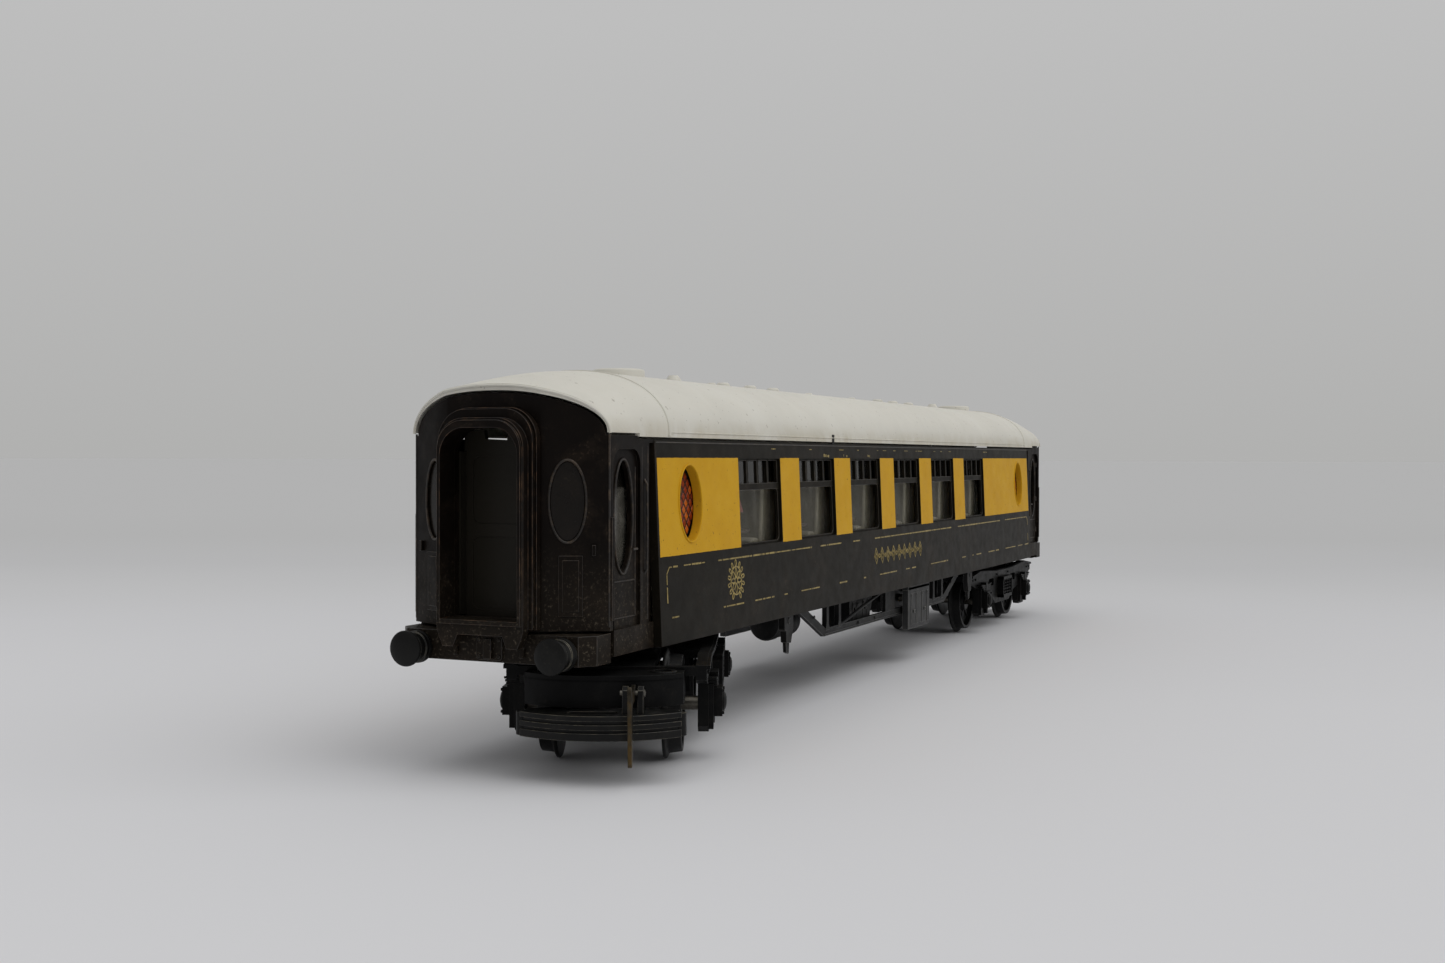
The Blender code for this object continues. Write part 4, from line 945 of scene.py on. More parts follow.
def box_at(M, x0, x1, z0, z1, n0, n1):
    bm = box(x0, x1, z0, z1, n0, n1)
    bmesh.ops.transform(bm, matrix=M, verts=bm.verts)
    bmesh.ops.recalc_face_normals(bm, faces=bm.faces)
    return bm


shell_bm = end_shell()
detail_bm, hardware_bm = end_details()
for s, en in ((-1, "front"), (1, "rear")):
    flip = None if s < 0 else MIRROR_X
    piece("end_shell_" + en, copy_of(shell_bm, flip), [M_END_SHADED, E_END], bevel=0.13)
    piece("end_mouldings_" + en, copy_of(detail_bm, flip), [M_END_SHADED, E_END], bevel=0.06)
    piece("end_hardware_" + en, copy_of(hardware_bm, flip), [E_END, E_END], bevel=0.05)
    ovals = []
    for t in (-1, 1):
        bm = outline([ellipse(3.4, 36.7, 4.5, 10.4, 44)], 0.2, facet_place(t), -0.42)
        bmesh.ops.recalc_face_normals(bm, faces=bm.faces)
        ovals.append(bm)
    piece("blind_ovals_" + en, copy_of(join(*ovals), flip), [M_BLIND_OVAL_SHADED, M_BLIND_OVAL_SHADED], bevel=0.07)
    for t, label in ((-1, "near"), (1, "far")):
        x0, x1 = sorted((s * 116.4, s * 123.0))
        y0, y1 = sorted((t * 13.40, t * 12.80))
        piece("door_glass_plate_%s_%s" % (en, label), box(x0, x1, y0, y1, 25.6, 43.4), [M_SMOKED, M_SMOKED],
              nodes="door_glass_%s_%s" % (en, label), bevel=0.1)
    # inner gangway door with a sunk panel
    x0, x1 = sorted((s * 126.10, s * 125.30))
    # its top stands clear of the arch at one place, where the pale interior shows
    top = [(6.3, 20.2), (6.3, 46.0), (3.2, 46.1), (3.0, 44.9), (-0.4, 44.75), (-0.6, 46.1), (-3.2, 46.1),
           (-6.3, 46.0), (-6.3, 20.2)]
    door = slab_yz([[(y, z) for y, z in top]], x0, x1)
    xa, xb = sorted((s * 126.6, s * 125.95))
    door = cut(door, slab_yz([round_rect(-4.9, 4.9, 33.5, 42.6, 1.0)], xa, xb),
               slab_yz([round_rect(-4.9, 4.9, 22.0, 31.8, 1.0)], xa, xb))
    posts = [box(*sorted((s * 127.6, s * 126.05)), *sorted((m_ * 5.95, m_ * 6.3)), 21.3, 43.2) for m_ in (-1, 1)]
    door = join(door, *posts)
    piece("gangway_door_" + en, door, [M_DOORPANEL, M_DOORPANEL], nodes="end_door_" + en, bevel=0.08)
    knob = lathe([(0.0, 0.55), (0.32, 0.5), (0.42, 0.3), (0.3, 0.1), (0.2, 0.0), (0.0, 0.0)], 16,
                 (s * 126.05, -4.4, 32.6), (s, 0, 0))
    piece("gangway_door_knob_" + en, knob, M_STEEL)

# ===================================================================== roof
def roof_ring(place, half_w, rim, band, rise, thick, side, n=48):
    outer = [(-half_w, rim)] + [(y, crown(y, half_w, band, rise, ARC_POWER)) for y in fan(half_w, n)] + [(half_w, rim)]
    iw = half_w - side
    inner = [(iw, rim)] + [(-y, crown(y, iw, band, rise - thick, ARC_POWER)) for y in fan(iw, n)] + [(-iw, rim)]
    return [(place(y), y, z) for y, z in outer + inner]


def roof_section(t):
    ease = math.sin(math.pi / 2 * t)
    rise = (ARC_RISE + 0.94) * (1 - ease) + (ROOF_APEX_Z - ROOF_BAND_Z) * ease
    band = (ARC_SPRING_Z + 0.3) * (1 - t) + ROOF_BAND_Z * t
    width = (HALF_W_CORNER + 0.1) * (1 - ease) + ROOF_HALF_W * ease
    rim = ROOF_RIM_END_Z if t < 0.48 else ROOF_RIM_Z
    return rise, band, width, rim, 0.35 * (1 - t) + ROOF_THICK * t


def roof():
    ts = [i / 16.0 for i in range(17)]
    ts = sorted(set(ts + [0.4799, 0.4801]))
    rings = []
    for s, seq in ((-1, ts), (1, ts[::-1])):
        for t in seq:
            rise, band, width, rim, side = roof_section(t)

            def place(y, s=s, t=t):
                tip = end_x(y) + 0.25
                return s * (tip + (ROOF_DOME_START - tip) * t)
            rings.append(roof_ring(place, width, rim, band, rise, ROOF_THICK, side))
    bm = bmesh.new()
    rows = [[bm.verts.new(p) for p in ring] for ring in rings]
    n = len(rows[0])
    for a, b in zip(rows, rows[1:]):
        for i in range(n):
            j = (i + 1) % n
            bm.faces.new((a[i], a[j], b[j], b[i]))
    half = n // 2
    for row in (rows[0], rows[-1]):
        for i in range(half - 1):
            bm.faces.new((row[i], row[i + 1], row[n - 2 - i], row[n - 1 - i]))
    return bm


piece("roof_shell", roof(), M_ROOF, nodes="roof", angle=42)
extra = []
for s in (-1, 1):
    # raised transverse rib where the dome begins
    for x, w, proud in ((107.0, 0.85, 0.16),):
        path = []
        for y in fan(ROOF_HALF_W + 0.02, 48):
            path.append((s * x, y, crown(y, ROOF_HALF_W + 0.02, ROOF_BAND_Z, ROOF_APEX_Z - ROOF_BAND_Z, ARC_POWER)))
        pts = [(s * x, -ROOF_HALF_W - 0.02, 45.5)] + path + [(s * x, ROOF_HALF_W + 0.02, 45.5)]
        bm = bmesh.new()
        rows = []
        for dx, dz in ((-w / 2, -0.1), (-w / 2 * 0.75, proud), (w / 2 * 0.75, proud), (w / 2, -0.1)):
            row = []
            for i, p in enumerate(pts):
                q = Vector(p)
                a, b = Vector(pts[max(i - 1, 0)]), Vector(pts[min(i + 1, len(pts) - 1)])
                tan = (b - a).normalized()
                nrm = Vector((0, -tan.z, tan.y))
                row.append(bm.verts.new(q + nrm * dz + Vector((s * dx, 0, 0))))
            rows.append(row)
        for a, b in zip(rows, rows[1:]):
            for i in range(len(a) - 1):
                bm.faces.new((a[i], a[i + 1], b[i + 1], b[i]))
        extra.append(bm)
    # round vent plate, torpedo vent and small vents on the ridge
    extra.append(lathe([(0.0, 55.9), (3.4, 55.9), (3.8, 55.8), (3.95, 55.6), (3.95, 53.6), (0.0, 53.6)], 48,
                       (s * 93.2, 0, 0)))
    extra.append(lathe([(0.0, 55.9), (0.75, 55.86), (0.95, 55.6), (1.35, 55.0), (1.5, 54.2), (0.0, 54.0)], 24,
                       (s * 74.0, 0, 0)))
    for x in (54.0, 42.0, 31.0):
        extra.append(lathe([(0.0, 55.6), (0.8, 55.56), (1.05, 55.4), (1.2, 55.15), (1.2, 54.95), (1.75, 54.8),
                            (1.8, 54.2), (0.0, 54.0)], 24, (s * x, 0, 0)))
    # gutter bead along each side and over the arched end
    for t in (-1, 1):
        extra.append(tube([(s * 0.0, t * 15.27, 46.02), (s * 50.0, t * 15.27, 46.02), (s * 107.0, t * 15.27, 46.02)],
                          0.11, 8))
    edge = []
    for y in fan(HALF_W_CORNER + 0.1, 60):
        rise, band, width, rim, side = roof_section(0.0)
        edge.append((s * (end_x(y) + 0.27), y, crown(y, width, band, rise, ARC_POWER) - 0.25))
    extra.append(tube(edge, 0.2, 8))
# moulding marks on the ridge, seen just behind the vents
for x, y in ((-66.0, -3.2), (-20.0, -3.0), (4.0, -3.4)):
    z = crown(y, ROOF_HALF_W, ROOF_BAND_Z, ROOF_APEX_Z - ROOF_BAND_Z, ARC_POWER)
    extra.append(lathe([(0.0, 0.22), (0.55, 0.2), (0.75, 0.05), (0.8, -0.2), (0.0, -0.2)], 16, (x, y, z)))
piece("roof_fittings", join(*extra), M_ROOF, angle=40)
# small dark clip at the gutter
clips = [join(box(-40.3, -39.3, min(t * 15.12, t * 15.36), max(t * 15.12, t * 15.36), 44.95, 46.6)) for t in (-1, 1)]
piece("roof_clips", join(*clips), [M_BLACK, E_BLACK], bevel=0.05)


# ================================================================== gangways
def gangway():
    s = -1
    back = slab_yz([arch(7.30, 20.0, 49.0, 4.2, 12)], s * 129.1, s * 130.1)
    mid = slab_yz([arch(6.95, 20.3, 48.4, 4.1, 12)], s * 130.0, s * 130.7)
    mid2 = slab_yz([arch(7.25, 20.1, 48.8, 4.2, 12)], s * 130.55, s * 131.05)
    foot = [(-6.6, 19.9), (-6.4, 19.2), (-5.7, 17.6), (-4.1, 17.6), (-3.4, 19.2), (3.4, 19.2), (4.1, 17.6),
            (5.7, 17.6), (6.4, 19.2), (6.6, 19.9)]
    front = slab_yz([foot + arch(6.6, 20.0, 47.6, 4.0, 12)[1:-1]], s * 130.95, s * 132.3)
    lip = slab_yz([arch(6.35, 20.6, 47.3, 3.9, 12)], s * 132.2, s * GANGWAY_FACE_X)
    bm = union(back, mid, mid2, front, lip)
    tunnel = slab_yz([arch(5.90, 21.20, 46.30, 3.6, 12)], s * 127, s * 135)
    return tidy(cut(bm, tunnel))


gw = gangway()
for s, en in ((-1, "front"), (1, "rear")):
    flip = None if s < 0 else MIRROR_X
    piece("gangway_frame_" + en, copy_of(gw, flip), [M_END_SHADED, E_GANGWAY_WEAR_AND_HIGHLIGHT], nodes="gangway_" + en, bevel=0.16, seg=3)
    # two catches and the suspension eye at the top of the frame
    bits = []
    for y in (-3.1, 3.1):
        bits.append(box(s * 132.2, s * 132.68, y - 0.55, y + 0.55, 46.5, 47.1))
    bits.append(tube([(s * 129.6, -5.4, 40.0), (s * 130.2, -5.75, 40.0), (s * 130.2, -5.75, 43.0),
                      (s * 129.6, -5.4, 43.0)], 0.18, 8))
    piece("gangway_catches_" + en, join(*bits), [E_GANGWAY_WEAR_AND_HIGHLIGHT, E_GANGWAY_WEAR_AND_HIGHLIGHT], bevel=0.08)

# ================================================================== interior
FLOOR_TOP = 20.8
seats, cushions, tables, shades, stems = [], [], [], [], []
bm = box(-104.0, 104.0, -12.4, 12.4, 19.8, FLOOR_TOP)
piece("saloon_floor", bm, M_SEAT, nodes="interior_seats")
for k in range(WINDOW_COUNT):
    c = WINDOW_X0 + k * WINDOW_PITCH + WINDOW_W / 2
    for t in (-1, 1):
        y0, y1 = sorted((t * 3.2, t * 12.4))
        for m_ in (-1, 1):
            back = [(c + m_ * 11.2, FLOOR_TOP), (c + m_ * 11.2, 37.0), (c + m_ * 10.6, 37.9), (c + m_ * 9.6, 38.2),
                    (c + m_ * 8.4, 38.1), (c + m_ * 7.6, 37.4), (c + m_ * 6.9, 29.3), (c + m_ * 6.9, FLOOR_TOP)]
            seats.append(slab_xz([back], y0, y1))
            cush = [(c + m_ * 7.1, 24.2), (c + m_ * 3.7, 24.2), (c + m_ * 3.6, 28.3), (c + m_ * 4.1, 29.1),
                    (c + m_ * 5.2, 29.4), (c + m_ * 7.1, 29.2)]
            cushions.append(slab_xz([cush], y0 + 0.35, y1 - 0.35))
        tables.append(box(c - 2.8, c + 2.8, y0 + 0.2, y1, 30.3, 30.9))
        tables.append(box(c - 0.7, c + 0.7, y0 + 3.4, y1 - 2.6, FLOOR_TOP, 30.4))
        ly = t * 11.2
        stems.append(lathe([(0.0, 33.4), (0.22, 33.4), (0.18, 31.6), (0.5, 31.3), (0.8, 30.95), (0.0, 30.9)], 14,
                           (c, ly, 0)))
        shades.append(lathe([(0.0, 35.7), (0.4, 35.7), (0.5, 35.3), (0.85, 34.0), (0.88, 33.7), (0.0, 33.7)], 20,
                            (c, ly, 0)))
piece("seat_backs", join(*seats), [M_SEAT, M_CUSHION], bevel=0.45, seg=3)
piece("seat_cushions", join(*cushions), [M_CUSHION, M_CUSHION], bevel=0.4, seg=3)
piece("saloon_tables", join(*tables), [M_TABLE, M_TABLE], bevel=0.12)
piece("table_lamp_stems", join(*stems), M_STEEL)
piece("table_lamp_shades", join(*shades), M_LAMP)
piece("ballast_weight", box(-60, 60, -8, 8, 18.1, 19.4), [M_STEEL, M_STEEL], nodes="ballast_bar", bevel=0.2)

# ================================================================ underframe
plan = [(-123.0, -12.6), (-111.6, -12.6), (-111.6, -14.35), (111.6, -14.35), (111.6, -12.6), (123.0, -12.6),
        (123.0, 12.6), (111.6, 12.6), (111.6, 14.35), (-111.6, 14.35), (-111.6, 12.6), (-123.0, 12.6)]
loops = [plan] + [[(s * PIVOT_X + 1.85 * math.cos(2 * math.pi * i / 24), 1.85 * math.sin(2 * math.pi * i / 24))
                   for i in range(24)] for s in (-1, 1)]
parts = [slab_xy(loops, 16.60, 17.70)]
for s in (-1, 1):
    parts.append(lathe([(4.6, 17.2), (4.6, 15.0), (4.3, 14.65), (1.85, 14.65), (1.85, 17.2)], 48, (s * PIVOT_X, 0, 0)))
    for t in (-1, 1):
        y0, y1 = sorted((t * 12.9, t * 14.1))
        # two-tier drop bracket beside each bogie
        parts.append(slab_xz([[(s * 59.9, 17.0), (s * 59.9, 13.4), (s * 59.2, 13.2), (s * 58.9, 11.2),
                               (s * 57.0, 11.0), (s * 56.0, 13.4), (s * 56.0, 17.0)]], y0, y1))
        y0, y1 = sorted((t * 13.15, t * 13.85))
        parts.append(slab_xz([[(s * 58.8, 12.0), (s * 58.5, 9.5), (s * 57.4, 9.2), (s * 57.0, 12.0)]], y0, y1))
        parts.append(rod((s * 58.0, t * 13.9, 14.9), (s * 58.0, t * 14.25, 14.9), 0.55, 14))
        # cross ribs under the floor near the bogies
        parts.append(box(s * 66, s * 67, -12.5, 12.5, 15.9, 16.8))
        parts.append(box(s * 113.0, s * 114.0, -12.0, 12.0, 15.6, 16.8))
for y in (-5.6, 5.6):
    web = slab_xz([[(-56, 17), (-56, 14.2), (56, 14.2), (56, 17)]], y - 0.3, y + 0.3)
    parts.append(web)
    parts.append(box(-56, 56, y - 0.6, y + 0.6, 14.2, 14.6))
for x in range(-50, 51, 20):
    parts.append(box(x - 0.4, x + 0.4, -12.3, 12.3, 15.2, 16.8))
piece("underframe_moulding", join(*parts), [M_UNDER, E_UNDER], nodes="underframe", bevel=0.12)

for t, label in ((-1, "near"), (1, "far")):
    ya, yb = sorted((t * 12.4, t * 13.4))
    bars = [slab_xz([[(-52.6, 16.2), (-48.4, 16.2), (-38.0, 11.6), (-3.0, 11.6), (3.0, 11.6), (38.0, 11.6),
                      (48.4, 16.2), (52.6, 16.2), (38.8, 10.2), (-38.8, 10.2)]], ya + 0.1, yb - 0.1),
            box(-3.0, 3.0, ya + 0.15, yb - 0.15, 10.9, 16.4)]
    y = t * 12.9
    # flange along the bottom bar, posts, and round braces
    bars.append(box(-38.6, 38.6, ya, yb, 10.2, 10.65))
    for s in (-1, 1):
        for x in (30.5, 37.0):
            bars.append(slab_xz([[(s * x - 1.0, 16.4), (s * x - 0.55, 15.2), (s * x - 0.55, 12.4), (s * x - 1.0, 11.2),
                                  (s * x + 1.0, 11.2), (s * x + 0.55, 12.4), (s * x + 0.55, 15.2),
                                  (s * x + 1.0, 16.4)]], ya, yb))
        bars.append(tube([(s * 3.0, y, 15.9), (s * 16.0, y, 13.8), (s * 29.8, y, 11.3)], 0.32, 10))
        for x in (10.0, 20.0, 44.2):
            bars.append(rod((s * x, t * 13.35, 11.0 if x < 40 else 14.2), (s * x, t * 13.55, 11.0 if x < 40 else 14.2),
                            0.32, 12))
    piece("truss_%s_bars" % label, join(*bars), [M_UNDER, E_UNDER], nodes="truss_" + label, bevel=0.09)


def equipment(x0, x1, y0, y1, z0, z1, doors, out):
    """A hanging box: doors with straps, hinges and a catch, feet, and a lid lip."""
    d = [box(x0, x1, y0, y1, z0, z1 - 0.2), box(x0 - 0.15, x1 + 0.15, y0, y1, z1 - 0.9, z1)]
    face = y0 if out < 0 else y1
    w = (x1 - x0) / doors
    for k in range(doors):
        a, b = x0 + k * w + 0.55, x0 + (k + 1) * w - 0.55
        d.append(box(a, b, face - out * 0.5, face + out * 0.02, z0 + 0.8, z1 - 1.5))
        for fx in (0.22, 0.78):
            xm = a + (b - a) * fx
            d.append(box(xm - 0.3, xm + 0.3, face - out * 0.3, face + out * 0.16, z0 + 0.8, z1 - 1.5))
            d.append(rod((xm, face + out * 0.02, z1 - 2.0), (xm, face + out * 0.3, z1 - 2.0), 0.24, 10))
        xm = (a + b) / 2
        d.append(box(xm - 0.5, xm + 0.5, face - out * 0.2, face + out * 0.28, z0 + 3.2, z0 + 3.9))
    for x in (x0 + 0.8, x1 - 0.8):
        d.append(box(x - 0.4, x + 0.4, y0 + 0.1, y1 - 0.1, z1 - 0.4, z1 + 0.8))
    return join(*d)


def shrink(bm, y_in):
    return bm


piece("battery_box_near_body", equipment(6.3, 21.3, -15.1, -13.75, 7.1, 16.0, 2, -1), [M_BATTERY, E_BATTERY],
      nodes="battery_box_near", bevel=0.12)
piece("battery_box_far_body", equipment(-21.3, -6.3, 13.75, 15.1, 7.1, 16.0, 2, 1), [M_BATTERY, E_BATTERY],
      nodes="battery_box_far", bevel=0.12)
piece("regulator_box_body", equipment(-20.0, -8.0, -11.6, -6.9, 9.6, 16.2, 2, -1), [M_UNDER, E_UNDER],
      nodes="regulator_box", bevel=0.1)
cyl = [lathe([(0.0, 3.9), (2.2, 3.85), (3.2, 3.5), (3.45, 3.0), (3.45, 2.2), (3.6, 2.1), (3.6, 1.5), (3.45, 1.4),
              (3.45, -1.4), (3.6, -1.5), (3.6, -2.1), (3.45, -2.2), (3.45, -3.0), (3.2, -3.5), (2.2, -3.85),
              (0.0, -3.9)], 40, (14, 0, 12.0), (0, 1, 0)),
       box(12.2, 15.8, -1.0, 1.0, 15.0, 16.7), rod((14, -3.7, 12), (14, -4.3, 12), 0.7, 16)]
piece("vacuum_cylinder_body", join(*cyl), [M_UNDER, E_UNDER], nodes="vacuum_cylinder", bevel=0.08)
dyn = [lathe([(0.0, -33.0), (2.2, -32.95), (3.0, -32.5), (3.2, -31.9), (3.2, -30.2), (3.05, -30.1), (3.05, -23.9),
              (3.2, -23.8), (3.2, -21.9), (2.8, -21.2), (1.4, -21.0), (1.4, -19.8), (1.2, -19.4), (0.0, -19.4)],
             36, (0, 1.0, 11.2), (1, 0, 0)),
       box(-28.5, -25.5, -0.4, 2.4, 13.0, 16.4)]
piece("dynamo_body", join(*dyn), [M_UNDER, E_UNDER], nodes="dynamo", bevel=0.08)

# ===================================================== buffer beams, buffers
for s, en in ((-1, "front"), (1, "rear")):
    plan = [(s * 123.75, -14.9), (s * 127.6, -14.9), (s * 129.6, -13.2), (s * 129.6, 13.2), (s * 127.6, 14.9),
            (s * 123.75, 14.9)]
    d = [slab_xy([plan], 15.4, 19.35)]
    # draw hook plate with its slotted hook, coupling stub pipes and bolt heads
    d.append(slab_yz([round_rect(-2.0, 2.0, 15.7, 18.9, 0.5)], s * 129.5, s * 129.95))
    d.append(slab_yz([[(-0.6, 15.9), (0.6, 15.9), (0.6, 18.6), (-0.6, 18.6)]], s * 129.5, s * 130.5))
    for y in (-5.0, 5.2, -8.0):
        d.append(tube([(s * 129.4, y, 17.6), (s * 129.85, y, 17.4), (s * 129.95, y, 16.2)], 0.35, 10))
    for y in (-1.5, 1.5):
        for z in (16.2, 18.4):
            d.append(rod((s * 129.9, y, z), (s * 130.1, y, z), 0.26, 8))
    piece("buffer_beam_%s_body" % en, join(*d), [M_END_SHADED, E_END], nodes="buffer_beam_" + en, bevel=0.14)
    # a buffer at each side of the beam
    for t, label in ((-1, "near"), (1, "far")):
        h = BUFFER_X - 129.9
        prof = [(0.0, h), (0.9, h - 0.015), (1.5, h - 0.08), (2.05, h - 0.2), (2.33, h - 0.34), (BUFFER_R, h - 0.48),
                (BUFFER_R, h - 0.72), (2.3, h - 0.8), (1.5, h - 0.95), (1.25, h - 1.05), (1.25, h - 1.5),
                (1.8, h - 1.5), (1.92, h - 1.6), (2.0, 1.25), (2.15, 1.15), (2.15, 0.55), (2.2, 0.5), (2.2, 0.0),
                (0.0, 0.0)]
        piece("buffer_%s_%s_body" % (en, label), lathe(prof, 48, (s * 129.9, t * BUFFER_Y, BUFFER_Z), (s, 0, 0)),
              [M_COUPLING, E_COUPLING], nodes="buffer_%s_%s" % (en, label), angle=30, bevel=0.06, limit=50)

# ==================================================================== bogies
def bogie_frame():
    d = []
    deck = [(-30.3, -13.0), (-28.9, -13.0), (-28.9, -6.3), (-11.2, -6.3), (-11.2, -12.4), (11.2, -12.4),
            (11.2, -6.3), (28.9, -6.3), (28.9, -13.0), (30.3, -13.0), (30.3, 13.0), (28.9, 13.0), (28.9, 6.3),
            (11.2, 6.3), (11.2, 12.4), (-11.2, 12.4), (-11.2, 6.3), (-28.9, 6.3), (-28.9, 13.0), (-30.3, 13.0)]
    hole = [(1.85 * math.cos(2 * math.pi * i / 24), 1.85 * math.sin(2 * math.pi * i / 24)) for i in range(24)]
    d.append(slab_xy([deck, hole], 13.0, 14.2))
    a = WHEELBASE / 2
    side = [(-30.3, 14.4), (-30.3, 12.4), (-26.6, 11.4), (-a - 3.4, 11.0), (-a - 3.4, 5.0), (-a - 2.2, 4.1),
            (-a + 2.2, 4.1), (-a + 3.4, 5.0), (-a + 3.4, 9.2), (-10.6, 8.2), (-7.0, 6.2), (7.0, 6.2), (10.6, 8.2),
            (a - 3.4, 9.2), (a - 3.4, 5.0), (a - 2.2, 4.1), (a + 2.2, 4.1), (a + 3.4, 5.0), (a + 3.4, 11.0),
            (26.6, 11.4), (30.3, 12.4), (30.3, 14.4), (23.0, 15.2), (8.0, 14.4), (-8.0, 14.4), (-23.0, 15.2)]
    slots = [round_rect(-13.4, -8.6, 10.8, 12.6, 0.5, 3), round_rect(8.6, 13.4, 10.8, 12.6, 0.5, 3)]
    for s in (-1, 1):       # axle holes
        slots.append([(s * a + 1.4 * math.cos(2 * math.pi * i / 20), AXLE_Z + 1.4 * math.sin(2 * math.pi * i / 20))
                      for i in range(20)])
    for t in (-1, 1):
        y0, y1 = sorted((t * 12.1, t * 13.6))
        plate = slab_xz([side] + slots, y0, y1)
        d.append(plate)
        # flange along the top edge
        top = [(-30.0, 14.35), (-23.0, 15.1), (-8.0, 14.3), (8.0, 14.3), (23.0, 15.1), (30.0, 14.35)]
        lip = [(x, z) for x, z in top] + [(x, z - 0.55) for x, z in reversed(top)]
        y2, y3 = sorted((t * 13.5, t * 14.05))
        d.append(slab_xz([lip], y2, y3))
        for s in (-1, 1):
            cx = s * a
            # horn guides, axlebox and its round cover with bolts
            for q in (-1, 1):
                y4, y5 = sorted((t * 13.5, t * 14.3))
                x0, x1 = sorted((cx + q * 2.3, cx + q * 3.2))
                d.append(box(x0, x1, y4, y5, 4.6, 10.9))
            y4, y5 = sorted((t * 13.2, t * 15.5))
            d.append(box(cx - 1.9, cx + 1.9, y4, y5, 6.2, 10.2))
            d.append(lathe([(0.0, 0.55), (0.5, 0.55), (1.05, 0.42), (1.35, 0.2), (1.4, -0.3), (0.0, -0.3)], 28,
                           (cx, t * 15.5, 8.1), (0, t, 0)))
            for bx, bz in ((-1.45, 6.65), (1.45, 6.65), (-1.45, 9.75), (1.45, 9.75)):
                d.append(rod((cx + bx, t * 15.4, bz), (cx + bx, t * 15.75, bz), 0.22, 8))
            # leaf spring over the axlebox: plates that get shorter downwards
            for j in range(4):
                half = 4.6 - 0.85 * j
                z = 12.05 - 0.42 * j
                leaf = []
                for i in range(9):
                    u = -1 + i / 4.0
                    leaf.append((cx + half * u, z - 0.35 * (half / 4.6) ** 2 * u * u * -1 - 0.35))
                low = [(x, zz - 0.34) for x, zz in reversed(leaf)]
                y6, y7 = sorted((t * 13.3, t * 14.8))
                d.append(slab_xz([leaf + low], y6, y7))
            y6, y7 = sorted((t * 13.2, t * 14.9))
            d.append(box(cx - 0.7, cx + 0.7, y6, y7, 10.1, 12.3))
        # bolster: plank, hangers and two pairs of coil springs
        y4, y5 = sorted((t * 13.2, t * 15.1))
        d.append(box(-4.6, 4.6, y4, y5, 7.4, 8.2))
        d.append(box(-4.6, 4.6, y4, y5, 11.9, 12.6))
        for q in (-4.35, 4.35):
            d.append(box(q - 0.25, q + 0.25, y4, y5, 7.4, 12.6))
        for cx in (-2.35, 0.0, 2.35):
            n, turns = 60, 5
            path = [(cx + 0.72 * math.cos(2 * math.pi * turns * i / n), t * 14.2 + 0.72 * math.sin(2 * math.pi * turns * i / n),
                     8.15 + 3.8 * i / n) for i in range(n + 1)]
            d.append(tube(path, 0.24, 6))
        # rivets along the side frame
        for x in (-28.6, -26.2, -5.6, 5.6, 26.2, 28.6):
            d.append(rod((x, t * 13.55, 13.3), (x, t * 13.85, 13.3), 0.25, 8))
        y4, y5 = sorted((t * 8.0, t * 9.4))
    # brake blocks on hangers inside each wheel
    for s in (-1, 1):
        for t in (-1, 1):
            y0, y1 = sorted((t * 8.05, t * 9.6))
            cx = s * a
            arc = [(cx - s * 7.35 * math.cos(math.radians(q)) - s * 0.0, AXLE_Z + 7.35 * math.sin(math.radians(q)))
                   for q in range(-22, 23, 11)]
            arc2 = [(cx - s * 8.35 * math.cos(math.radians(q)), AXLE_Z + 8.35 * math.sin(math.radians(q)))
                    for q in range(22, -23, -11)]
            d.append(slab_xz([arc + arc2], t * 8.05, t * 9.4))
            x0, x1 = sorted((s * 10.9, s * 11.7))
            d.append(box(x0, x1, min(y0, y1) + 0.4, max(y0, y1) - 0.4, 8.5, 13.2))
    # curved apron over the coupling, with ringed bosses and holes
    n = 16
    outer = []
    for i in range(n + 1):
        y = -10.6 + 21.2 * i / n
        outer.append((36.9 - 3.5 * (abs(y) / 10.6) ** 3.0, y))
    apron = [(30.0, -10.6)] + outer + [(30.0, 10.6)]
    holes = [[(32.4 + 1.15 * math.cos(2 * math.pi * i / 24), y + 1.15 * math.sin(2 * math.pi * i / 24)) for i in range(24)]
             for y in (-7.85, 7.85)]
    d.append(slab_xy([apron] + holes, 13.0, 13.8))
    rim = [(30.0, -10.6)] + outer + [(30.0, 10.6), (30.0, 9.9)] + [(x - 0.75, y * 0.93) for x, y in outer[::-1]] + \
        [(30.0, -9.9)]
    d.append(slab_xy([rim], 9.6, 13.2))
    for y in (-7.85, 7.85):
        d.append(lathe([(1.15, 14.0), (1.7, 14.0), (1.85, 13.85), (1.85, 13.0), (1.85, 9.7), (1.15, 9.7)], 32,
                       (32.4, y, 0)))
    for y in (-4.5, 0.0, 4.5):
        d.append(box(30.2, 35.6, y - 0.25, y + 0.25, 12.2, 13.3))
    return join(*d)


def bar_line(offset, n=36):
    return [(offset - 4.0 * (abs(-10.6 + 21.2 * i / n) / 10.6) ** 2.2, -10.6 + 21.2 * i / n) for i in range(n + 1)]


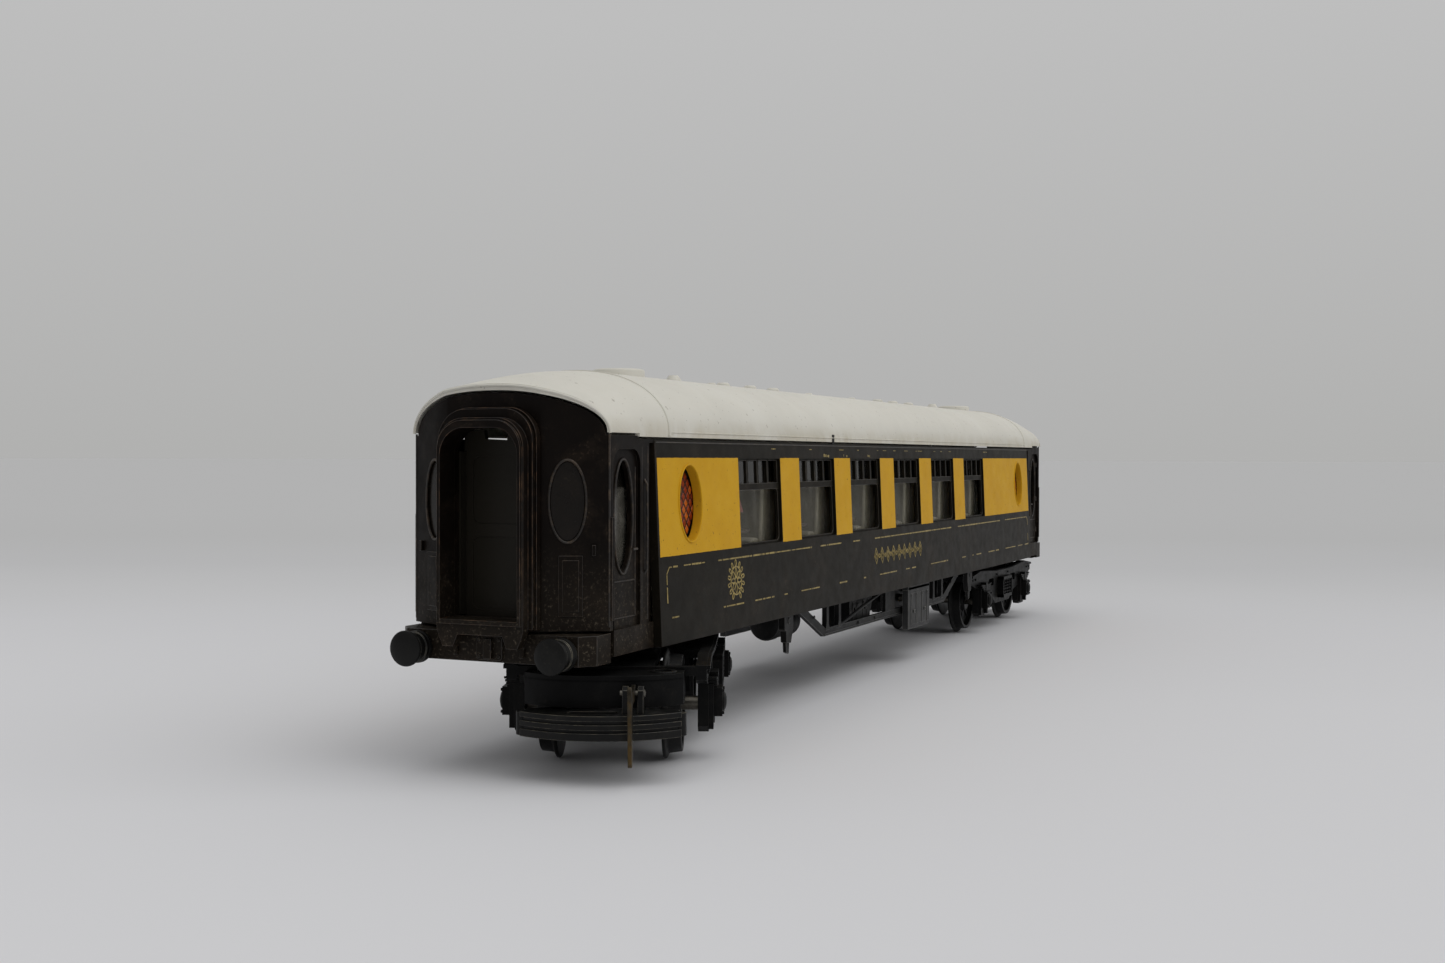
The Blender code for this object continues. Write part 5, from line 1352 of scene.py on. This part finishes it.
def coupling():
    d = []
    d.append(slab_xy([bar_line(41.6) + bar_line(40.3)[::-1]], 6.1, 9.25))
    # three ridges along the face of the bar, the lowest one deepest
    for z0, z1 in ((6.05, 7.05), (7.45, 8.15), (8.6, 9.3)):
        d.append(slab_xy([bar_line(42.0) + bar_line(41.2)[::-1]], z0, z1))
    plate = [(30.9, -6.6), (33.6, -6.6), (35.6, -10.2), (37.0, -10.2), (39.5, -5.6), (40.9, 0.0), (39.5, 5.6),
             (37.0, 10.2), (35.6, 10.2), (33.6, 6.6), (30.9, 6.6)]
    slot = round_rect(37.6, 39.4, -4.2, 2.2, 0.5, 3)
    d.append(slab_xy([plate, slot], 8.5, 9.25))
    for y in (2.95, 4.95):
        lug = [(37.6, 9.0), (39.7, 9.0), (39.6, 12.3), (38.9, 12.8), (38.2, 12.7), (37.5, 12.0)]
        pin = [(38.6 + 0.5 * math.cos(2 * math.pi * i / 12), 11.8 + 0.5 * math.sin(2 * math.pi * i / 12))
               for i in range(12)]
        d.append(slab_xz([lug, pin], y, y + 0.75))
    # ends of the bar, rounded off
    for t in (-1, 1):
        d.append(rod((37.15, t * 10.35, 6.15), (37.15, t * 10.35, 9.2), 0.85, 20))
    return join(*d)


def hook():
    eye = [(38.6 + 1.15 * math.cos(math.radians(a)), 11.8 + 1.15 * math.sin(math.radians(a))) for a in range(60, 301, 12)]
    rest = [(39.6, 10.95), (42.3, 10.95), (42.75, 10.7), (43.0, 10.2), (43.0, 3.5), (43.2, 3.1), (43.6, 3.0),
            (44.0, 3.15), (44.2, 3.6), (44.5, 9.0), (45.0, 12.2), (44.95, 12.9), (44.6, 13.5), (44.2, 13.1),
            (43.6, 12.6), (42.6, 12.4), (39.8, 12.5)]
    hole = [(38.6 + 0.6 * math.cos(math.radians(a)), 11.8 + 0.6 * math.sin(math.radians(a))) for a in range(0, 360, 20)]
    return slab_xz([eye + rest, hole], 4.05, 4.60)


frame_bm, coupling_bm, hook_bm = bogie_frame(), coupling(), hook()
WHEEL_PROFILE = [(1.02, 2.5), (2.1, 2.5), (2.3, 2.35), (2.45, 2.0), (2.6, 1.55), (3.4, 1.35), (5.3, 1.30), (5.75, 1.45),
                 (5.95, 1.9), (6.0, 2.55), (6.15, 2.7), (6.7, 2.7), (6.8, 2.62), (7.0, 0.95), (7.12, 0.78),
                 (7.55, 0.62), (7.74, 0.5), (7.8, 0.36), (7.78, 0.2), (7.6, 0.04), (7.4, 0.0), (1.02, 0.0)]
for en, px, turn in (("front", -PIVOT_X, 202.5), ("rear", PIVOT_X, 0.0)):
    B = Matrix.Translation((px, 0, 0)) @ Matrix.Rotation(math.radians(turn), 4, "Z")
    body = "bogie_" + en
    piece("bogie_%s_frame" % en, frame_bm.copy(), [M_BLACK, E_BLACK], body, "bogie_frame_" + en, bevel=0.1, place=B)
    piece("bogie_%s_coupling" % en, coupling_bm.copy(), [M_COUPLING, E_COUPLING], body, "coupling_" + en, bevel=0.2,
          place=B, seg=3)
    piece("bogie_%s_hook_pin" % en, lathe([(0.0, 3.35), (0.3, 3.35), (0.55, 3.2), (0.55, 3.0), (0.4, 3.0), (0.4, 0.0),
                                           (0.0, 0.0)], 20, (38.6, 2.6, 11.8), (0, 1, 0)),
          M_STEEL, body, "hook_pin_" + en, place=B)
    piece("hook_%s_plate" % en, hook_bm.copy(), [M_HOOK, M_HOOK], "hook_" + en, "coupling_hook_" + en, bevel=0.09,
          place=B)
    for s, which in ((1, "outer"), (-1, "inner")):
        wb = "wheelset_%s_%s" % (en, which)
        centre = Vector((s * WHEELBASE / 2, 0, AXLE_Z))
        piece("axle_%s_%s_shaft" % (en, which),
              lathe([(0.0, 13.7), (0.3, 13.3), (0.98, 12.4), (1.0, 12.2), (1.0, 7.0), (0.85, 6.6), (0.85, -6.6),
                     (1.0, -7.0), (1.0, -12.2), (0.98, -12.4), (0.3, -13.3), (0.0, -13.7)], 32, centre, (0, 1, 0)),
              M_STEEL, wb, "axle_%s_%s" % (en, which), place=B)
        for t, hand in ((-1, "a"), (1, "b")):
            wheel = [lathe(WHEEL_PROFILE, 72, centre + Vector((0, t * 7.2, 0)), (0, t, 0))]
            # eight shallow webs on the disc, so a turned wheel can be seen to turn
            for i in range(8):
                q = 2 * math.pi * i / 8
                r0, r1 = 2.5, 5.85
                p0 = centre + Vector((r0 * math.cos(q), t * (7.2 + 1.5), r0 * math.sin(q)))
                p1 = centre + Vector((r1 * math.cos(q), t * (7.2 + 1.5), r1 * math.sin(q)))
                wheel.append(tube([p0, (p0 + p1) / 2, p1], 0.34, 8, squash=((0, 1, 0), 0.6)))
            piece("wheel_%s_%s_%s_disc" % (en, which, hand), join(*wheel), [M_WHEEL], wb,
                  "wheel_%s_%s_%s" % (en, which, hand), place=B, angle=28)
    pin = lathe([(0.0, 6.4), (1.35, 6.4), (1.5, 6.2), (1.5, 1.2), (3.0, 1.2), (3.2, 1.05), (3.2, 0.35), (2.9, 0.1),
                 (2.6, 0.0), (0.0, 0.0)], 36, (px, 0, 11.4), (0, 0, 1))
    piece("pivot_pin_%s_turned" % en, join(pin), M_STEEL, "coach", "pivot_pin_" + en)

# ===================================================================== stage
ground = bpy.data.meshes.new("studio_floor")
bm = bmesh.new()
bmesh.ops.create_grid(bm, x_segments=4, y_segments=4, size=25.0)
bm.to_mesh(ground)
bm.free()
floor = bpy.data.objects.new("studio_floor", ground)
scene.collection.objects.link(floor)
m, nt, bsdf = new_mat("studio_paper")
co = coords(nt)
# painted light falloff: the paper is coloured lighter near the camera and darker further back, standing in for the fall
# of the lamps' light
along = nt.nodes.new("ShaderNodeVectorMath")
along.operation = "DOT_PRODUCT"
along.inputs[1].default_value = (0.914, 0.406, 0.0)
nt.links.new(co, along.inputs[0])
where = mth(nt, "ADD", mth(nt, "MULTIPLY_ADD", along.outputs["Value"], 1.0 / 1.1, 0.25 / 1.1),
            mth(nt, "MULTIPLY_ADD", noise(nt, co, 5.0, 3.0, 0.5), 0.06, -0.03))
put(nt, bsdf.inputs["Base Color"], ramp(nt, where, [
    (0.0, srgb(223, 223, 225)), (0.18, srgb(219, 219, 221)), (0.30, srgb(212, 212, 214)), (0.40, srgb(205, 205, 206)),
    (0.50, srgb(198, 198, 199)), (0.70, srgb(194, 194, 194)), (1.0, srgb(195, 195, 195))]))
bsdf.inputs["Roughness"].default_value = 0.8
bsdf.inputs["Specular IOR Level"].default_value = 0.1
ground.materials.append(m)
floor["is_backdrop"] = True


def sun(name, direction, strength, angle, colour=(1, 1, 1)):
    d = bpy.data.lights.new(name, "SUN")
    d.energy = strength
    d.angle = math.radians(angle)
    d.color = colour
    o = bpy.data.objects.new(name, d)
    scene.collection.objects.link(o)
    o.rotation_euler = (-Vector(direction)).to_track_quat("-Z", "Y").to_euler()
    return o


sun("soft_key", (0.06, -0.82, 0.88), 0.77, 58.0)
sun("soft_top", (-0.26, -0.15, 1.0), 0.76, 66.0)
world = bpy.data.worlds.new("studio_world")
scene.world = world
world.use_nodes = True
wt = world.node_tree
bg = wt.nodes["Background"]
gen = wt.nodes.new("ShaderNodeTexCoord").outputs["Generated"]
dot = wt.nodes.new("ShaderNodeVectorMath")
dot.operation = "DOT_PRODUCT"
dot.inputs[1].default_value = Vector((0.90, 0.33, 0.28)).normalized()
wt.links.new(gen, dot.inputs[0])
towards = mth(wt, "MULTIPLY_ADD", dot.outputs["Value"], 0.5, 0.5)
low = ramp(wt, towards, [(0.04, srgb(134, 134, 135)), (0.25, srgb(141, 141, 142)), (0.5, srgb(153, 153, 153)),
                         (0.70, srgb(166, 166, 166)), (0.86, srgb(177, 177, 176))])
high = ramp(wt, towards, [(0.04, srgb(138, 138, 139)), (0.25, srgb(146, 146, 147)), (0.5, srgb(158, 158, 158)),
                          (0.70, srgb(174, 174, 174)), (0.86, srgb(190, 190, 190))])
sepw = wt.nodes.new("ShaderNodeSeparateXYZ")
wt.links.new(gen, sepw.inputs[0])
rise = mth(wt, "MAXIMUM", mth(wt, "MINIMUM", mth(wt, "MULTIPLY", sepw.outputs["Z"], 3.8), 1.0), 0.0)
shade = mix(wt, rise, low, high)
wt.links.new(shade, bg.inputs["Color"])
bg.inputs["Strength"].default_value = 1.0

bpy.data.collections.remove(SCRATCH)
lo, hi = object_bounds()
{"cad": [[float(v) for v in c] for c in CAD_BOX], "visual": [[float(v) for v in c] for c in (lo, hi)]}
